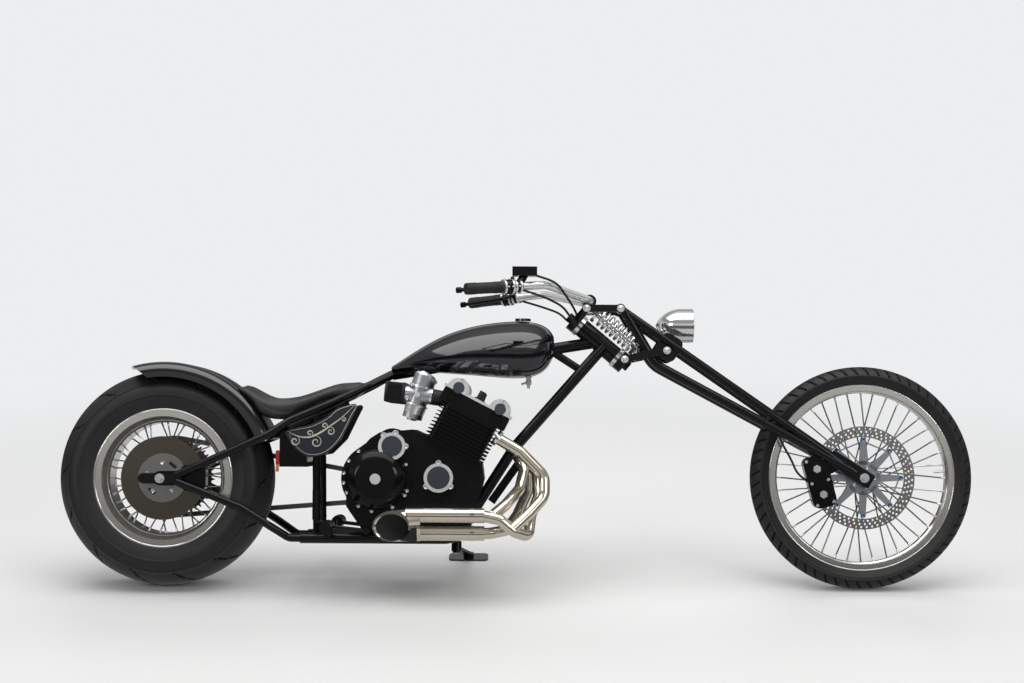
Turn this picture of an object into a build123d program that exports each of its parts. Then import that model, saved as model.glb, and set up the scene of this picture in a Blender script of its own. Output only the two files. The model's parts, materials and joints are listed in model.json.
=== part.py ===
"""Long-fork chopper motorcycle with a girder fork, rigid frame and inline four engine.

The bike is drawn upright: X forward, Y to the rider's left, Z up from the ground,
in millimetres. At the end every piece is leaned onto the side stand, as it parks.
"""

import os
from math import asin, atan2, cos, degrees, pi, radians, sin, sqrt, tan

from build123d import *

# Stance
wheelbase = 2138
rear_axle_x = -1062
front_axle_x = rear_axle_x + wheelbase
lean_angle = 12
cut_overrun = 20
seat_gap = 0.3
running_gap = 0.1

# Rear wheel
rear_tyre_radius = 330
rear_tyre_width = 230
rear_crown_radius = 140
rear_flange_radius = 212
rear_seat_radius = 190
rear_well_radius = 172
rear_rim_width = 205
rear_rim_wall = 4
rear_hub_radius = 36
rear_flange_hub_radius = 58
rear_flange_hub_y = 45
rear_spoke_rim_y = 24
rear_axle_diameter = 20
rear_disc_radius = 127
rear_disc_y = 105
rear_disc_thickness = 6
sprocket_teeth = 48
chain_pitch = 15.875
chain_y = 130
chain_width = 15
chain_plate = 3
chain_depth = 15
roller_radius = 4.6
roller_gap = 0.9
tooth_height = 4
tooth_gap_root = 3.2
tooth_gap_tip = 7
sprocket_thickness = 6

# Front wheel
front_tyre_radius = 342
front_tyre_width = 88
front_crown_radius = 45
front_flange_radius = 286
front_seat_radius = 269
front_well_radius = 262
front_rim_width = 56
front_rim_wall = 3.5
front_hub_radius = 24
front_flange_hub_radius = 44
front_flange_hub_y = 22
front_spoke_rim_y = 7
front_axle_diameter = 20
front_disc_radius = 158
front_disc_ring = 125
front_disc_y = 50
front_disc_thickness = 5
front_disc_hub = 52
carrier_arms = 8
carrier_arm_width = 16

# Both wheels
spoke_count = 40
spoke_diameter = 4.5
spoke_lead = 32
hub_flange_thickness = 7

# Calipers
disc_slot = 15
running_clearance = 5
caliper_reach = 135
caliper_drop = 12
caliper_angle = 14.5
caliper_inner_y = 28
caliper_length = 160
caliper_height = 74
caliper_depth = 46
caliper_corner = 22
piston_radius = 26
piston_cap = 6
bracket_reach = 171
bracket_rise = 3
bracket_length = 105
bracket_height = 80
bracket_y = 63
bracket_thickness = 5.7
bracket_corner = 8
rear_caliper_reach = 96
rear_caliper_inner_y = 80
rear_caliper_length = 76
rear_caliper_depth = 50
rear_caliper_corner = 16
caliper_link_y = 118
caliper_link_length = 150
caliper_link_height = 44
caliper_link_thickness = 8

# Steering head
rake_angle = 50
head_top_x = 212
head_top_z = 801
head_length = 138
head_tube_diameter = 58
stem_diameter = 30
cup_diameter = 68
cup_height = 12
yoke_thickness = 24
yoke_gap = 1
lower_yoke_thickness = 26
upper_pivot_reach = 50
upper_link_length = 104
lower_pivot_reach = 6
lower_link_length = 132
lower_link_angle = 12
stem_top_stub = 16
stem_low_stub = 14
pin_overhang = 8
clamp_wall = 8
eye_wall = 4
pivot_half_width = 75
link_depth = 22
link_thickness = 9
pivot_pin_diameter = 14

# Girder legs
leg_front_diameter = 25
leg_rear_diameter = 28
leg_bend_x = 437
leg_bend_z = 686
leg_bend_radius = 90
axle_plate_thickness = 12
axle_plate_width = 46
axle_plate_length = 150
axle_plate_angle = 32
axle_stub = 14
stub_diameter = 16
gusset_thickness = 8
gusset_length = 70
gusset_height = 78
gusset_rise = 12
gusset_corner = 20
axle_plate_lap = 26
lamp_bar_diameter = 16
spring_reach = 63
spring_top_drop = 4
spring_length = 152
spring_pitch = 19
spring_radius = 21
spring_wire = 9
spring_cup = 8
spring_rod_diameter = 18
spring_bar_share = 0.3

# Frame
downtube_diameter = 34
downtube_knee_x = 3
downtube_knee_z = 424
downtube_foot_x = -99
downtube_foot_z = 262
downtube_knee_y = 88
downtube_foot_y = 108
knee_bend = 60
foot_bend = 70
backbone_diameter = 36
backbone_tail_x = -372
backbone_tail_z = 652
brace_diameter = 24
rail_diameter = 32
rail_z = 152
rail_y = 130
rail_front_x = -165
rail_rear_x = -640
stay_diameter = 24
stay_y = 157
dropout_thickness = 12
dropout_length = 100
dropout_height = 31
post_x = -592
post_y = 98
post_diameter = 24
post_top_z = 538
post_lean = 6
post_spread = 8
stay_tip_reach = 48
stay_tip_drop = 9
stay_bend = 30
rail_bend = 40
rail_tip_y = 30
band_diameter = 20
boss_diameter = 16
panel_y = 128

# Engine
crank_x = -221
crank_z = 337
cylinder_tilt = 27
deck_height = 95
block_depth = 196
block_width = 390
block_fins = 7
head_height = 178
head_top_height = 256
head_fin_top = 215
head_fins = 3
tower_length = 78
tower_depth = 44
tower_corner = 6
panel_recess = 4
panel_recess_length = 40
panel_recess_height = 26
fin_thickness = 3
fin_reach = 13
cam_spacing = 140
cam_height = 264
cam_cover_radius = 34
cam_cap_radius = 28
cam_cap_depth = 10
cam_ear_radius = 7
cam_flange_length = 226
case_half_width = 158
case_rear_x = -500
case_front_x = -85
case_bottom_z = 172
case_deck_z = 482
case_corner = 12
cover_plate = 6
cover_plate_margin = 13
clutch_x = -409
clutch_z = 333
clutch_radius = 93
clutch_depth = 56
clutch_rim = 30
clutch_face_radius = 60
clutch_bulge_depth = 44
clutch_bulge_radius = 80
clutch_plug_radius = 16
ignition_radius = 44
cover_depth = 42
cover_ear_radius = 9
cover_recess = 3
starter_x = -361
starter_z = 431
starter_radius = 41
generator_radius = 78
output_x = -462
output_z = 300
output_teeth = 17
output_shaft_diameter = 34
case_clearance = 5
carb_spacing = 100
carb_count = 4
boot_diameter = 40
throat_reach = 40
throat_length = 75
throat_rise = 8
throat_diameter = 46
slide_angle = 18
slide_diameter = 48
slide_down_reach = 74
slide_up_reach = 66
slide_cap_diameter = 57
slide_cap_height = 38
linkage_diameter = 12
filter_diameter = 66
filter_length = 62

# Exhaust
header_diameter = 34
header_bend = 48
header_turn = 26
exhaust_front_x = 100
pipe_diameter = 44
pipe_wall = 3
upper_pipe_y = 232
upper_pipe_z = 226
lower_pipe_y = 205
lower_pipe_z = 172
collector_y = 218
outlet_x = -419
outlet_y = 222
outlet_z = 189
outlet_half_width = 38
outlet_half_height = 43
outlet_slash = 117

# Oil cooler
cooler_x = -30
cooler_z = 330
cooler_angle = 35
cooler_width = 120
cooler_height = 150
cooler_depth = 24

# Tank, seat and rear
tank_tail_x = -374
tank_length = 501
tank_low_z = 643
tank_height = 176
tank_width = 262
cap_radius = 24
cap_x = 31
cap_height = 8
fender_radius = 354
fender_width = 256
fender_sheet = 3
fender_skirt = 46
fender_corner = 34
fender_start_angle = 20
fender_end_angle = 109
seat_length = 392
seat_front_x = -448
seat_low_z = 515
seat_height = 117
seat_width = 260
seat_corner_share = 0.45
battery_x = -668
battery_length = 84
battery_width = 176
battery_height = 112
battery_top_z = 478
panel_rear_x = -691
panel_low_z = 395
panel_length = 226
panel_height = 167
panel_thickness = 7
panel_corner = 8
lamp_gap = 0.5
tail_lamp_length = 11
tail_lamp_height = 44
tail_lamp_depth = 10

# Headlamp
lamp_radius = 52
lamp_front_x = 556
lamp_z = 808
lamp_depth = 114
lamp_wall = 4
lamp_band = 34
lamp_bulge = 86
lamp_bulge_share = 0.68
lamp_post_diameter = 18
lens_depth = 9

# Side stand
stand_foot_x = -139
stand_foot_y = 340
pad_length = 126
pad_width = 80
pad_thickness = 5
foot_radius = 17
foot_height = 12
stand_pivot_x = -174
stand_pivot_y = 152
stand_pivot_z = 110
stand_leg_diameter = 18
eye_radius = 16
eye_thickness = 21
ear_thickness = 10
stand_pin_diameter = 12
ear_arm_diameter = 20
pin_head = 6

# Foot controls
peg_x = -552
peg_z = 190
peg_end_y = 290
peg_diameter = 37
peg_boss_diameter = 22
pump_height = 90
pump_diameter = 26
lever_diameter = 12
pedal_reach = 118
pedal_drop = 14
pedal_width = 62
pedal_diameter = 20

# Handlebar
bar_diameter = 25
bar_centre_x = 236
bar_centre_z = 880
bar_end_x = -136
bar_end_y = 330
bar_end_z = 896
bar_elbow_x = 100
bar_elbow_y = 215
bar_elbow_z = 917
bar_shoulder_y = 78
elbow_bend = 80
shoulder_bend = 50
riser_y = 34
riser_width = 26
grip_diameter = 34
grip_length = 120
grip_cap = 4
housing_diameter = 45
housing_length = 30
collar_gap = 6
collar_diameter = 36
collar_length = 24
knob_diameter = 16
lever_rise = 10
lever_span = 58
lever_offset = 20
lever_flare = 8
lever_end = 10
lever_ball_radius = 9
reservoir_x = 34
reservoir_y = 238
reservoir_z = 955
reservoir_length = 74
reservoir_width = 48
reservoir_height = 28
hose_diameter = 7
hose_bend_share = 0.45
hose_top_share = 0.62
cable_end_reach = 5
cable_end_y = 46

rear_axle = Vector(rear_axle_x, 0, rear_tyre_radius)
front_axle = Vector(front_axle_x, 0, front_tyre_radius)
side_axis = Vector(0, 1, 0)


def rod(start, end, diameter):
    """Give a straight round bar."""
    start = Vector(*start)
    run = Vector(*end) - start
    with BuildPart() as bar:
        with BuildSketch(Plane(origin=start, z_dir=run)):
            Circle(diameter / 2)
        extrude(amount=run.length)
    return bar.part


def tube(points, diameter, bends):
    """Give a round tube bent through the points."""
    with BuildPart() as pipe:
        with BuildLine() as route:
            FilletPolyline(*points, radius=bends)
        with BuildSketch(Plane(origin=route.line @ 0, z_dir=route.line % 0)):
            Circle(diameter / 2)
        sweep()
    return pipe.part


def hose(points, diameter):
    """Give a round hose along the points, each bend as wide as its shorter run allows."""
    places = [Vector(*point) for point in points]
    bends = []
    for before, place, after in zip(places, places[1:], places[2:]):
        turn = radians((place - before).get_angle(after - place))
        run = min((place - before).length, (after - place).length)
        bends.append(hose_bend_share * run / tan(turn / 2))
    with BuildPart() as pipe:
        with BuildLine() as route:
            FilletPolyline(*points, radius=bends)
        with BuildSketch(Plane(origin=route.line @ 0, z_dir=route.line % 0)):
            Circle(diameter / 2)
        sweep()
    swept = pi * diameter**2 / 4 * sum(edge.length for edge in route.line.edges())
    print("hose bends", [round(bend) for bend in bends], "volume share", pipe.part.volume / swept)
    return pipe.part


def between(start, end, shares):
    """Give the points at these shares of the way from the start to the end, along each axis."""
    return [
        tuple(first + share * (last - first) for first, last, share in zip(start, end, row))
        for row in shares
    ]


def wheel_plane(axle):
    """Give the plane that holds the axle, with its first axis along the axle."""
    return Plane(origin=axle, x_dir=(0, 1, 0), z_dir=(1, 0, 0))


def side_plane(x, y, z):
    """Give an upright plane facing the rider's right, with X to its right."""
    return Plane(origin=(x, y, z), x_dir=(1, 0, 0), z_dir=(0, -1, 0))


def tyre(axle, radius, width, crown, flange_radius, seat_radius, rim_width, wall):
    """Give a tyre: a crown arc and two sidewall arcs over a bead that fits the rim."""
    shoulder_share = 0.84
    belly_share = 0.42
    half = width / 2
    shoulder = shoulder_share * half
    shoulder_radius = radius - crown + sqrt(crown**2 - shoulder**2)
    belly_radius = flange_radius + belly_share * (radius - flange_radius)
    lip = rim_width / 2
    bead = lip - wall - seat_gap
    with BuildPart() as ring:
        with BuildSketch(wheel_plane(axle)):
            with BuildLine():
                ThreePointArc((-shoulder, shoulder_radius), (0, radius), (shoulder, shoulder_radius))
                ThreePointArc((shoulder, shoulder_radius), (half, belly_radius), (lip, flange_radius + seat_gap))
                Line((lip, flange_radius + seat_gap), (-lip, flange_radius + seat_gap))
                ThreePointArc((-lip, flange_radius + seat_gap), (-half, belly_radius), (-shoulder, shoulder_radius))
            make_face()
            with Locations((0, (flange_radius + seat_radius + wall / 2 + seat_gap) / 2 + seat_gap)):
                Rectangle(2 * bead, flange_radius - seat_radius - wall / 2 + seat_gap)
        revolve(axis=Axis(axle, side_axis))
    return ring.part


def rim(axle, flange_radius, seat_radius, well_radius, rim_width, wall):
    """Give a dropped-centre rim of one wall thickness, lip to lip."""
    lip = rim_width / 2 - wall / 2
    step_share = 0.72
    well_share = 0.52
    half_profile = (
        (lip, flange_radius),
        (lip, seat_radius),
        (step_share * lip, seat_radius),
        (well_share * lip, well_radius),
    )
    other_half = [(-y, r) for y, r in reversed(half_profile)]
    with BuildPart() as hoop:
        with BuildSketch(wheel_plane(axle)):
            with BuildLine() as profile:
                Polyline(*half_profile, *other_half)
            trace(profile.line, line_width=wall)
        revolve(axis=Axis(axle, side_axis))
    return hoop.part


def spokes(axle, hub_radius, hub_y, rim_radius, rim_y):
    """Give crossed spokes from both hub flanges to the well of the rim."""
    tip_radius = rim_radius - seat_gap - spoke_diameter / 8
    root_radius = hub_radius - spoke_diameter
    with BuildPart() as lacing:
        for index in range(spoke_count):
            side = 1 if index % 2 else -1
            lead = spoke_lead if index % 4 < 2 else -spoke_lead
            tip_angle = radians(index * 360 / spoke_count)
            root_angle = tip_angle + radians(lead)
            root = axle + Vector(root_radius * cos(root_angle), side * hub_y, root_radius * sin(root_angle))
            tip = axle + Vector(tip_radius * cos(tip_angle), side * rim_y, tip_radius * sin(tip_angle))
            run = tip - root
            with BuildSketch(Plane(origin=root, z_dir=run)):
                RegularPolygon(spoke_diameter / 2, 6)
            extrude(amount=run.length)
    return lacing.part


# Rear wheel
with BuildPart() as rear_tyre:
    add(tyre(rear_axle, rear_tyre_radius, rear_tyre_width, rear_crown_radius,
         rear_flange_radius, rear_seat_radius, rear_rim_width, rear_rim_wall))
rear_tyre.part.label = "rear_tyre"

with BuildPart() as rear_rim:
    add(rim(rear_axle, rear_flange_radius, rear_seat_radius, rear_well_radius, rear_rim_width, rear_rim_wall))
rear_rim.part.label = "rear_rim"

rear_bore = rear_axle_diameter / 2 + running_gap
carrier_y = rear_disc_y - rear_disc_thickness / 2
sprocket_y = chain_y - sprocket_thickness / 2
# Columns: distance from the bike's centre plane, radius
rear_hub_profile = (
    (-carrier_y + seat_gap, rear_bore),
    (-carrier_y + seat_gap, rear_hub_radius),
    (-rear_flange_hub_y - hub_flange_thickness / 2, rear_hub_radius),
    (-rear_flange_hub_y - hub_flange_thickness / 2, rear_flange_hub_radius),
    (-rear_flange_hub_y + hub_flange_thickness / 2, rear_flange_hub_radius),
    (-rear_flange_hub_y + hub_flange_thickness / 2, rear_hub_radius),
    (rear_flange_hub_y - hub_flange_thickness / 2, rear_hub_radius),
    (rear_flange_hub_y - hub_flange_thickness / 2, rear_flange_hub_radius),
    (rear_flange_hub_y + hub_flange_thickness / 2, rear_flange_hub_radius),
    (rear_flange_hub_y + hub_flange_thickness, rear_hub_radius),
    (sprocket_y - seat_gap, rear_hub_radius),
    (sprocket_y - seat_gap, rear_bore),
)
with BuildPart() as rear_hub:
    with BuildSketch(wheel_plane(rear_axle)):
        with BuildLine():
            Polyline(*rear_hub_profile, close=True)
        make_face()
    revolve(axis=Axis(rear_axle, side_axis))
    add(spokes(rear_axle, rear_flange_hub_radius, rear_flange_hub_y,
           rear_well_radius - rear_rim_wall / 2, rear_spoke_rim_y))
rear_hub.part.label = "rear_hub"

with BuildPart() as rear_disc:
    with BuildSketch(side_plane(rear_axle_x, -carrier_y, rear_tyre_radius)):
        Circle(rear_disc_radius)
        Circle(rear_bore, mode=Mode.SUBTRACT)
    extrude(amount=rear_disc_thickness)
rear_disc.part.label = "rear_disc"

pitch_radius = chain_pitch / 2 / sin(pi / sprocket_teeth)
gap_radius = roller_radius + roller_gap
with BuildPart() as rear_sprocket:
    with BuildSketch(side_plane(rear_axle_x, sprocket_y + sprocket_thickness, rear_tyre_radius)):
        Circle(pitch_radius + tooth_height)
        with PolarLocations(pitch_radius, sprocket_teeth):
            Polygon(
                (-gap_radius, -tooth_gap_root), (0, -gap_radius), (tooth_height + roller_gap, -tooth_gap_tip),
                (tooth_height + roller_gap, tooth_gap_tip), (0, gap_radius), (-gap_radius, tooth_gap_root),
                align=None, mode=Mode.SUBTRACT)
        Circle(rear_bore, mode=Mode.SUBTRACT)
    extrude(amount=sprocket_thickness)
rear_sprocket.part.label = "rear_sprocket"

# Front wheel
with BuildPart() as front_tyre:
    add(tyre(front_axle, front_tyre_radius, front_tyre_width, front_crown_radius,
         front_flange_radius, front_seat_radius, front_rim_width, front_rim_wall))
front_tyre.part.label = "front_tyre"

with BuildPart() as front_rim:
    add(rim(front_axle, front_flange_radius, front_seat_radius, front_well_radius,
        front_rim_width, front_rim_wall))
front_rim.part.label = "front_rim"

front_bore = front_axle_diameter / 2 + running_gap
front_disc_face = front_disc_y - front_disc_thickness / 2
# Columns: distance from the bike's centre plane, radius
front_hub_profile = (
    (-front_disc_face + seat_gap, front_bore),
    (-front_disc_face + seat_gap, front_hub_radius),
    (-front_flange_hub_y - hub_flange_thickness / 2, front_hub_radius),
    (-front_flange_hub_y - hub_flange_thickness / 2, front_flange_hub_radius),
    (-front_flange_hub_y + hub_flange_thickness / 2, front_flange_hub_radius),
    (-front_flange_hub_y + hub_flange_thickness / 2, front_hub_radius),
    (front_flange_hub_y - hub_flange_thickness / 2, front_hub_radius),
    (front_flange_hub_y - hub_flange_thickness / 2, front_flange_hub_radius),
    (front_flange_hub_y + hub_flange_thickness / 2, front_flange_hub_radius),
    (front_flange_hub_y + hub_flange_thickness / 2, front_hub_radius),
    (front_disc_face, front_hub_radius),
    (front_disc_face, front_bore),
)
with BuildPart() as front_hub:
    with BuildSketch(wheel_plane(front_axle)):
        with BuildLine():
            Polyline(*front_hub_profile, close=True)
        make_face()
    revolve(axis=Axis(front_axle, side_axis))
    add(spokes(front_axle, front_flange_hub_radius, front_flange_hub_y,
           front_well_radius - front_rim_wall / 2, front_spoke_rim_y))
front_hub.part.label = "front_hub"

with BuildPart() as front_disc:
    with BuildSketch(side_plane(front_axle_x, -front_disc_face, front_tyre_radius)):
        Circle(front_disc_radius)
        Circle(front_disc_ring, mode=Mode.SUBTRACT)
        Circle(front_disc_hub)
        with PolarLocations((front_disc_hub + front_disc_ring) / 2, carrier_arms):
            Rectangle(front_disc_ring - front_disc_hub + carrier_arm_width, carrier_arm_width)
        Circle(front_bore, mode=Mode.SUBTRACT)
    extrude(amount=front_disc_thickness)
front_disc.part.label = "front_disc"

# Steering head: local X points up and forward, local Z up the steering axis
rake = radians(rake_angle)
head_up = Vector(-sin(rake), 0, cos(rake))
head_plane = Plane(origin=(head_top_x, 0, head_top_z), x_dir=(cos(rake), 0, sin(rake)), z_dir=head_up)
upper_pivot = head_plane.from_local_coords(Vector(upper_pivot_reach, 0, cup_height + yoke_gap + yoke_thickness / 2))
lower_pivot = head_plane.from_local_coords(
    Vector(lower_pivot_reach, 0, -head_length - cup_height - yoke_gap - lower_yoke_thickness / 2))
upper_joint = Vector(upper_pivot.X + upper_link_length, 0, upper_pivot.Z)
lower_link_rise = radians(lower_link_angle)
lower_joint = lower_pivot + Vector(cos(lower_link_rise), 0, sin(lower_link_rise)) * lower_link_length
print("head axis", tuple(head_up), "through", (head_top_x, 0, head_top_z))
print("upper pivot", upper_pivot, "upper joint", upper_joint)
print("lower pivot", lower_pivot, "lower joint", lower_joint)

head_start = Vector(head_top_x, 0, head_top_z)
head_low = head_start - head_up * head_length
head_middle = (head_start + head_low) * 0.5

# Frame
downtube_top = head_start - head_up * (head_length * 0.66)
knee = Vector(downtube_knee_x, downtube_knee_y, downtube_knee_z)
foot = Vector(downtube_foot_x, downtube_foot_y, downtube_foot_z)
brace_share = 0.24
brace_low = downtube_top + (Vector(knee.X, 0, knee.Z) - downtube_top) * brace_share
backbone_tail = Vector(backbone_tail_x, 0, backbone_tail_z)
backbone_run = backbone_tail - head_middle

with BuildPart() as frame_front:
    add(rod(head_start, head_low, head_tube_diameter))
    add(rod(head_middle, backbone_tail, backbone_diameter))
    for side in (1, -1):
        add(rod(downtube_top + side_axis * side * stem_diameter / 2,
            (knee.X, side * knee.Y, knee.Z), downtube_diameter))
    add(rod(head_middle + backbone_run * brace_share, brace_low, brace_diameter))
    with BuildSketch(head_plane):
        Circle(stem_diameter / 2 + running_gap)
    extrude(amount=-head_length, mode=Mode.SUBTRACT)
frame_front.part.label = "frame_front"

cup_bore = stem_diameter / 2 + running_gap
with BuildPart() as head_cups:
    with BuildSketch(head_plane, head_plane.offset(-head_length - cup_height)):
        Circle(cup_diameter / 2)
        Circle(cup_bore, mode=Mode.SUBTRACT)
    extrude(amount=cup_height)
head_cups.part.label = "head_cups"

rail_front = Vector(rail_front_x, rail_y, rail_z)
rail_rear = Vector(rail_rear_x, rail_y, rail_z)
with BuildPart() as frame_cradle:
    add(tube((knee, foot, rail_front, rail_rear), rail_diameter, (knee_bend, foot_bend)))
    cross_share = 0.9
    for share in (0.18, 0.9):
        place = rail_front + (rail_rear - rail_front) * share
        add(rod(place, (place.X, 0, place.Z), rail_diameter * cross_share))
    mirror(about=Plane.XZ)
    add(frame_front.part, mode=Mode.SUBTRACT)
frame_cradle.part.label = "frame_cradle"

stay_start = (rail_rear_x, rail_y, rail_z)
stay_tip = (rear_axle_x + stay_tip_reach, stay_y, rear_tyre_radius - stay_tip_drop)
rail_start = (rear_axle_x + stay_tip_reach, stay_y, rear_tyre_radius + stay_tip_drop)
rail_tip = (backbone_tail_x, rail_tip_y, backbone_tail_z)
# Columns: shares of the way along, across and up
lower_stay_shares = (
    (0.00, 0.00, 0.00), (0.09, 0.00, 0.00), (0.27, 0.96, 0.26), (0.48, 1.00, 0.55), (1.00, 1.00, 1.00),
)
upper_rail_shares = (
    (0.00, 0.00, 0.00), (0.42, 0.05, 0.39), (0.53, 0.23, 0.54), (0.72, 0.45, 0.71), (0.90, 0.76, 0.89),
    (1.00, 1.00, 1.00),
)
band_shares = ((0.52, 0.22, 0.53), (0.78, 0.56, 0.77))
fender_boss_shares = (0.40, 0.00, 0.37)
tie_shares = (0.555, 0.28, 0.555)
lower_stay = between(stay_start, stay_tip, lower_stay_shares)
upper_rail = between(rail_start, rail_tip, upper_rail_shares)
band_start, band_end = between(rail_start, rail_tip, band_shares)
band_drop = Vector(0, 0, -stay_diameter * 0.8)
fender_boss, tie = between(rail_start, rail_tip, (fender_boss_shares, tie_shares))
post_foot = Vector(post_x, post_y, rail_z + rail_diameter * 0.45 + seat_gap)
post_head = Vector(post_x - post_lean, post_y + post_spread, post_top_z)
with BuildPart() as frame_rear:
    with BuildSketch(side_plane(rear_axle_x, stay_y + dropout_thickness / 2, rear_tyre_radius)):
        SlotOverall(dropout_length + dropout_height, dropout_height)
        Circle(rear_axle_diameter / 2, mode=Mode.SUBTRACT)
    extrude(amount=dropout_thickness)
    add(tube(lower_stay, stay_diameter, (stay_bend, 2 * stay_bend, 2 * stay_bend)))
    add(tube(upper_rail, stay_diameter, (2 * stay_bend, rail_bend, rail_bend, rail_bend)))
    add(rod(Vector(*band_start) + band_drop, Vector(*band_end) + band_drop, band_diameter))
    add(rod((fender_boss[0], stay_y - stay_diameter / 4, fender_boss[2]),
            (fender_boss[0], fender_width / 2 + seat_gap, fender_boss[2]), boss_diameter))
    add(rod(post_foot, post_head, post_diameter))
    for share in (0.72, 0.85):
        hold = post_foot + (post_head - post_foot) * share
        add(rod(hold, (hold.X, panel_y - seat_gap, hold.Z), boss_diameter))
    add(rod((tie[0], tie[1] / 2, tie[2]), (tie[0], tie[1] / 2, battery_top_z - seat_gap - boss_diameter / 2),
            boss_diameter))
    mirror(about=Plane.XZ)
    add(rod(tie, (tie[0], -tie[1], tie[2]), stay_diameter))
    add(frame_front.part, mode=Mode.SUBTRACT)
frame_rear.part.label = "frame_rear"

rear_axle_half = stay_y + dropout_thickness / 2 + axle_stub
with BuildPart() as rear_axle_pin:
    add(rod(rear_axle - side_axis * rear_axle_half, rear_axle + side_axis * rear_axle_half, stub_diameter))
    add(rod(rear_axle - side_axis * (rear_axle_half - axle_stub), rear_axle + side_axis * (rear_axle_half - axle_stub),
            rear_axle_diameter))
rear_axle_pin.part.label = "rear_axle"

# Engine
tilt = radians(cylinder_tilt)
cylinder_up = Vector(sin(tilt), 0, cos(tilt))
cylinder_plane = Plane(origin=(crank_x, 0, crank_z), x_dir=(cos(tilt), 0, -sin(tilt)), z_dir=cylinder_up)
deck_rear = cylinder_plane.from_local_coords(Vector(-block_depth / 2, 0, deck_height))
deck_front = cylinder_plane.from_local_coords(Vector(block_depth / 2, 0, deck_height))
case_shares = (
    (0.00, 0.25), (0.00, 0.64), (0.17, 0.91), (0.24, 0.97), (0.48, 1.00),
)
case_front_shares = ((1.00, 0.51), (0.94, 0.19), (0.86, 0.00), (0.13, 0.00))
case_rear_low = (case_rear_x, case_bottom_z)
case_front_high = (case_front_x, case_deck_z)
case_outline = (
    between(case_rear_low, case_front_high, case_shares)
    + [(deck_rear.X, deck_rear.Z), (deck_front.X, deck_front.Z)]
    + between(case_rear_low, case_front_high, case_front_shares)
)
rail_channel = case_half_width - rail_y + rail_diameter / 2 + 2
chain_pocket = case_half_width - chain_y + chain_width / 2 + case_clearance
with BuildPart() as crankcase:
    with BuildSketch(side_plane(0, case_half_width, 0)):
        with BuildLine():
            FilletPolyline(*case_outline, close=True, radius=case_corner)
        make_face()
    extrude(amount=2 * case_half_width)
    with BuildSketch(side_plane(0, -case_half_width, 0)):
        with Locations((clutch_x, clutch_z)):
            Circle(clutch_radius + cover_plate_margin)
        with Locations((starter_x, starter_z)):
            Circle(starter_radius + cover_plate_margin)
        make_hull()
    extrude(amount=cover_plate)
    with Locations((0, case_half_width, rail_z), (0, -case_half_width, rail_z)):
        Box(wheelbase, 2 * rail_channel, rail_diameter * 1.75, mode=Mode.SUBTRACT)
    with Locations((case_rear_x, case_half_width, output_z)):
        Box(2 * (output_x - case_rear_x + 1.5 * output_shaft_diameter + case_clearance), 2 * chain_pocket,
            3 * clutch_radius, mode=Mode.SUBTRACT)
    add(frame_cradle.part, mode=Mode.SUBTRACT)
crankcase.part.label = "crankcase"

fin_pitch = (head_height - deck_height) / block_fins
with BuildPart() as cylinder_block:
    with BuildSketch(cylinder_plane.offset(deck_height)):
        RectangleRounded(block_depth - 2 * fin_reach, block_width - 2 * fin_reach, fin_reach)
    extrude(amount=head_height - deck_height)
    for level in range(block_fins):
        with BuildSketch(cylinder_plane.offset(deck_height + level * fin_pitch)):
            RectangleRounded(block_depth, block_width, fin_reach)
        extrude(amount=fin_thickness)
cylinder_block.part.label = "cylinder_block"

head_pitch = (head_fin_top - head_height) / head_fins
cover_half = block_width / 2 - fin_reach
cover_end = Plane(origin=cylinder_plane.origin + side_axis * cover_half,
                  x_dir=cylinder_plane.x_dir, z_dir=-side_axis)
tower_height = head_top_height - tower_depth / 2
towers = ((-cam_spacing / 2, tower_height), (cam_spacing / 2, tower_height))
cams = ((-cam_spacing / 2, cam_height), (cam_spacing / 2, cam_height))
with BuildPart() as cylinder_head:
    with BuildSketch(cylinder_plane.offset(head_height)):
        RectangleRounded(block_depth - 2 * fin_reach, block_width - 2 * fin_reach, fin_reach)
    extrude(amount=head_top_height - head_height)
    for level in range(head_fins):
        with BuildSketch(cylinder_plane.offset(head_height + level * head_pitch)):
            RectangleRounded(block_depth, block_width, fin_reach)
        extrude(amount=fin_thickness)
    with BuildSketch(cover_end):
        with Locations(*towers):
            RectangleRounded(tower_length, tower_depth, tower_corner)
    extrude(amount=2 * cover_half)
    with BuildSketch(cover_end, cover_end.offset(2 * cover_half - panel_recess)):
        with Locations(*towers):
            RectangleRounded(panel_recess_length, panel_recess_height, tower_corner)
    extrude(amount=panel_recess, mode=Mode.SUBTRACT)
cylinder_head.part.label = "cylinder_head"

with BuildPart() as cam_cover:
    with BuildSketch(cover_end):
        with Locations(*cams):
            Circle(cam_cover_radius)
        with Locations((0, (head_top_height + cam_height) / 2)):
            Rectangle(cam_flange_length, cam_height - head_top_height)
        with Locations((0, head_top_height - cam_cover_radius)):
            Rectangle(2 * cam_flange_length, 2 * cam_cover_radius, mode=Mode.SUBTRACT)
    extrude(amount=2 * cover_half)
    with BuildSketch(cover_end.offset(-cam_cap_depth)):
        with Locations(*cams):
            Circle(cam_cap_radius)
            with PolarLocations(cam_cap_radius, 3, start_angle=90):
                Circle(cam_ear_radius)
        with Locations((0, head_top_height - cam_cover_radius)):
            Rectangle(2 * cam_flange_length, 2 * cam_cover_radius, mode=Mode.SUBTRACT)
    extrude(amount=2 * (cover_half + cam_cap_depth))
cam_cover.part.label = "cam_cover"

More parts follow.
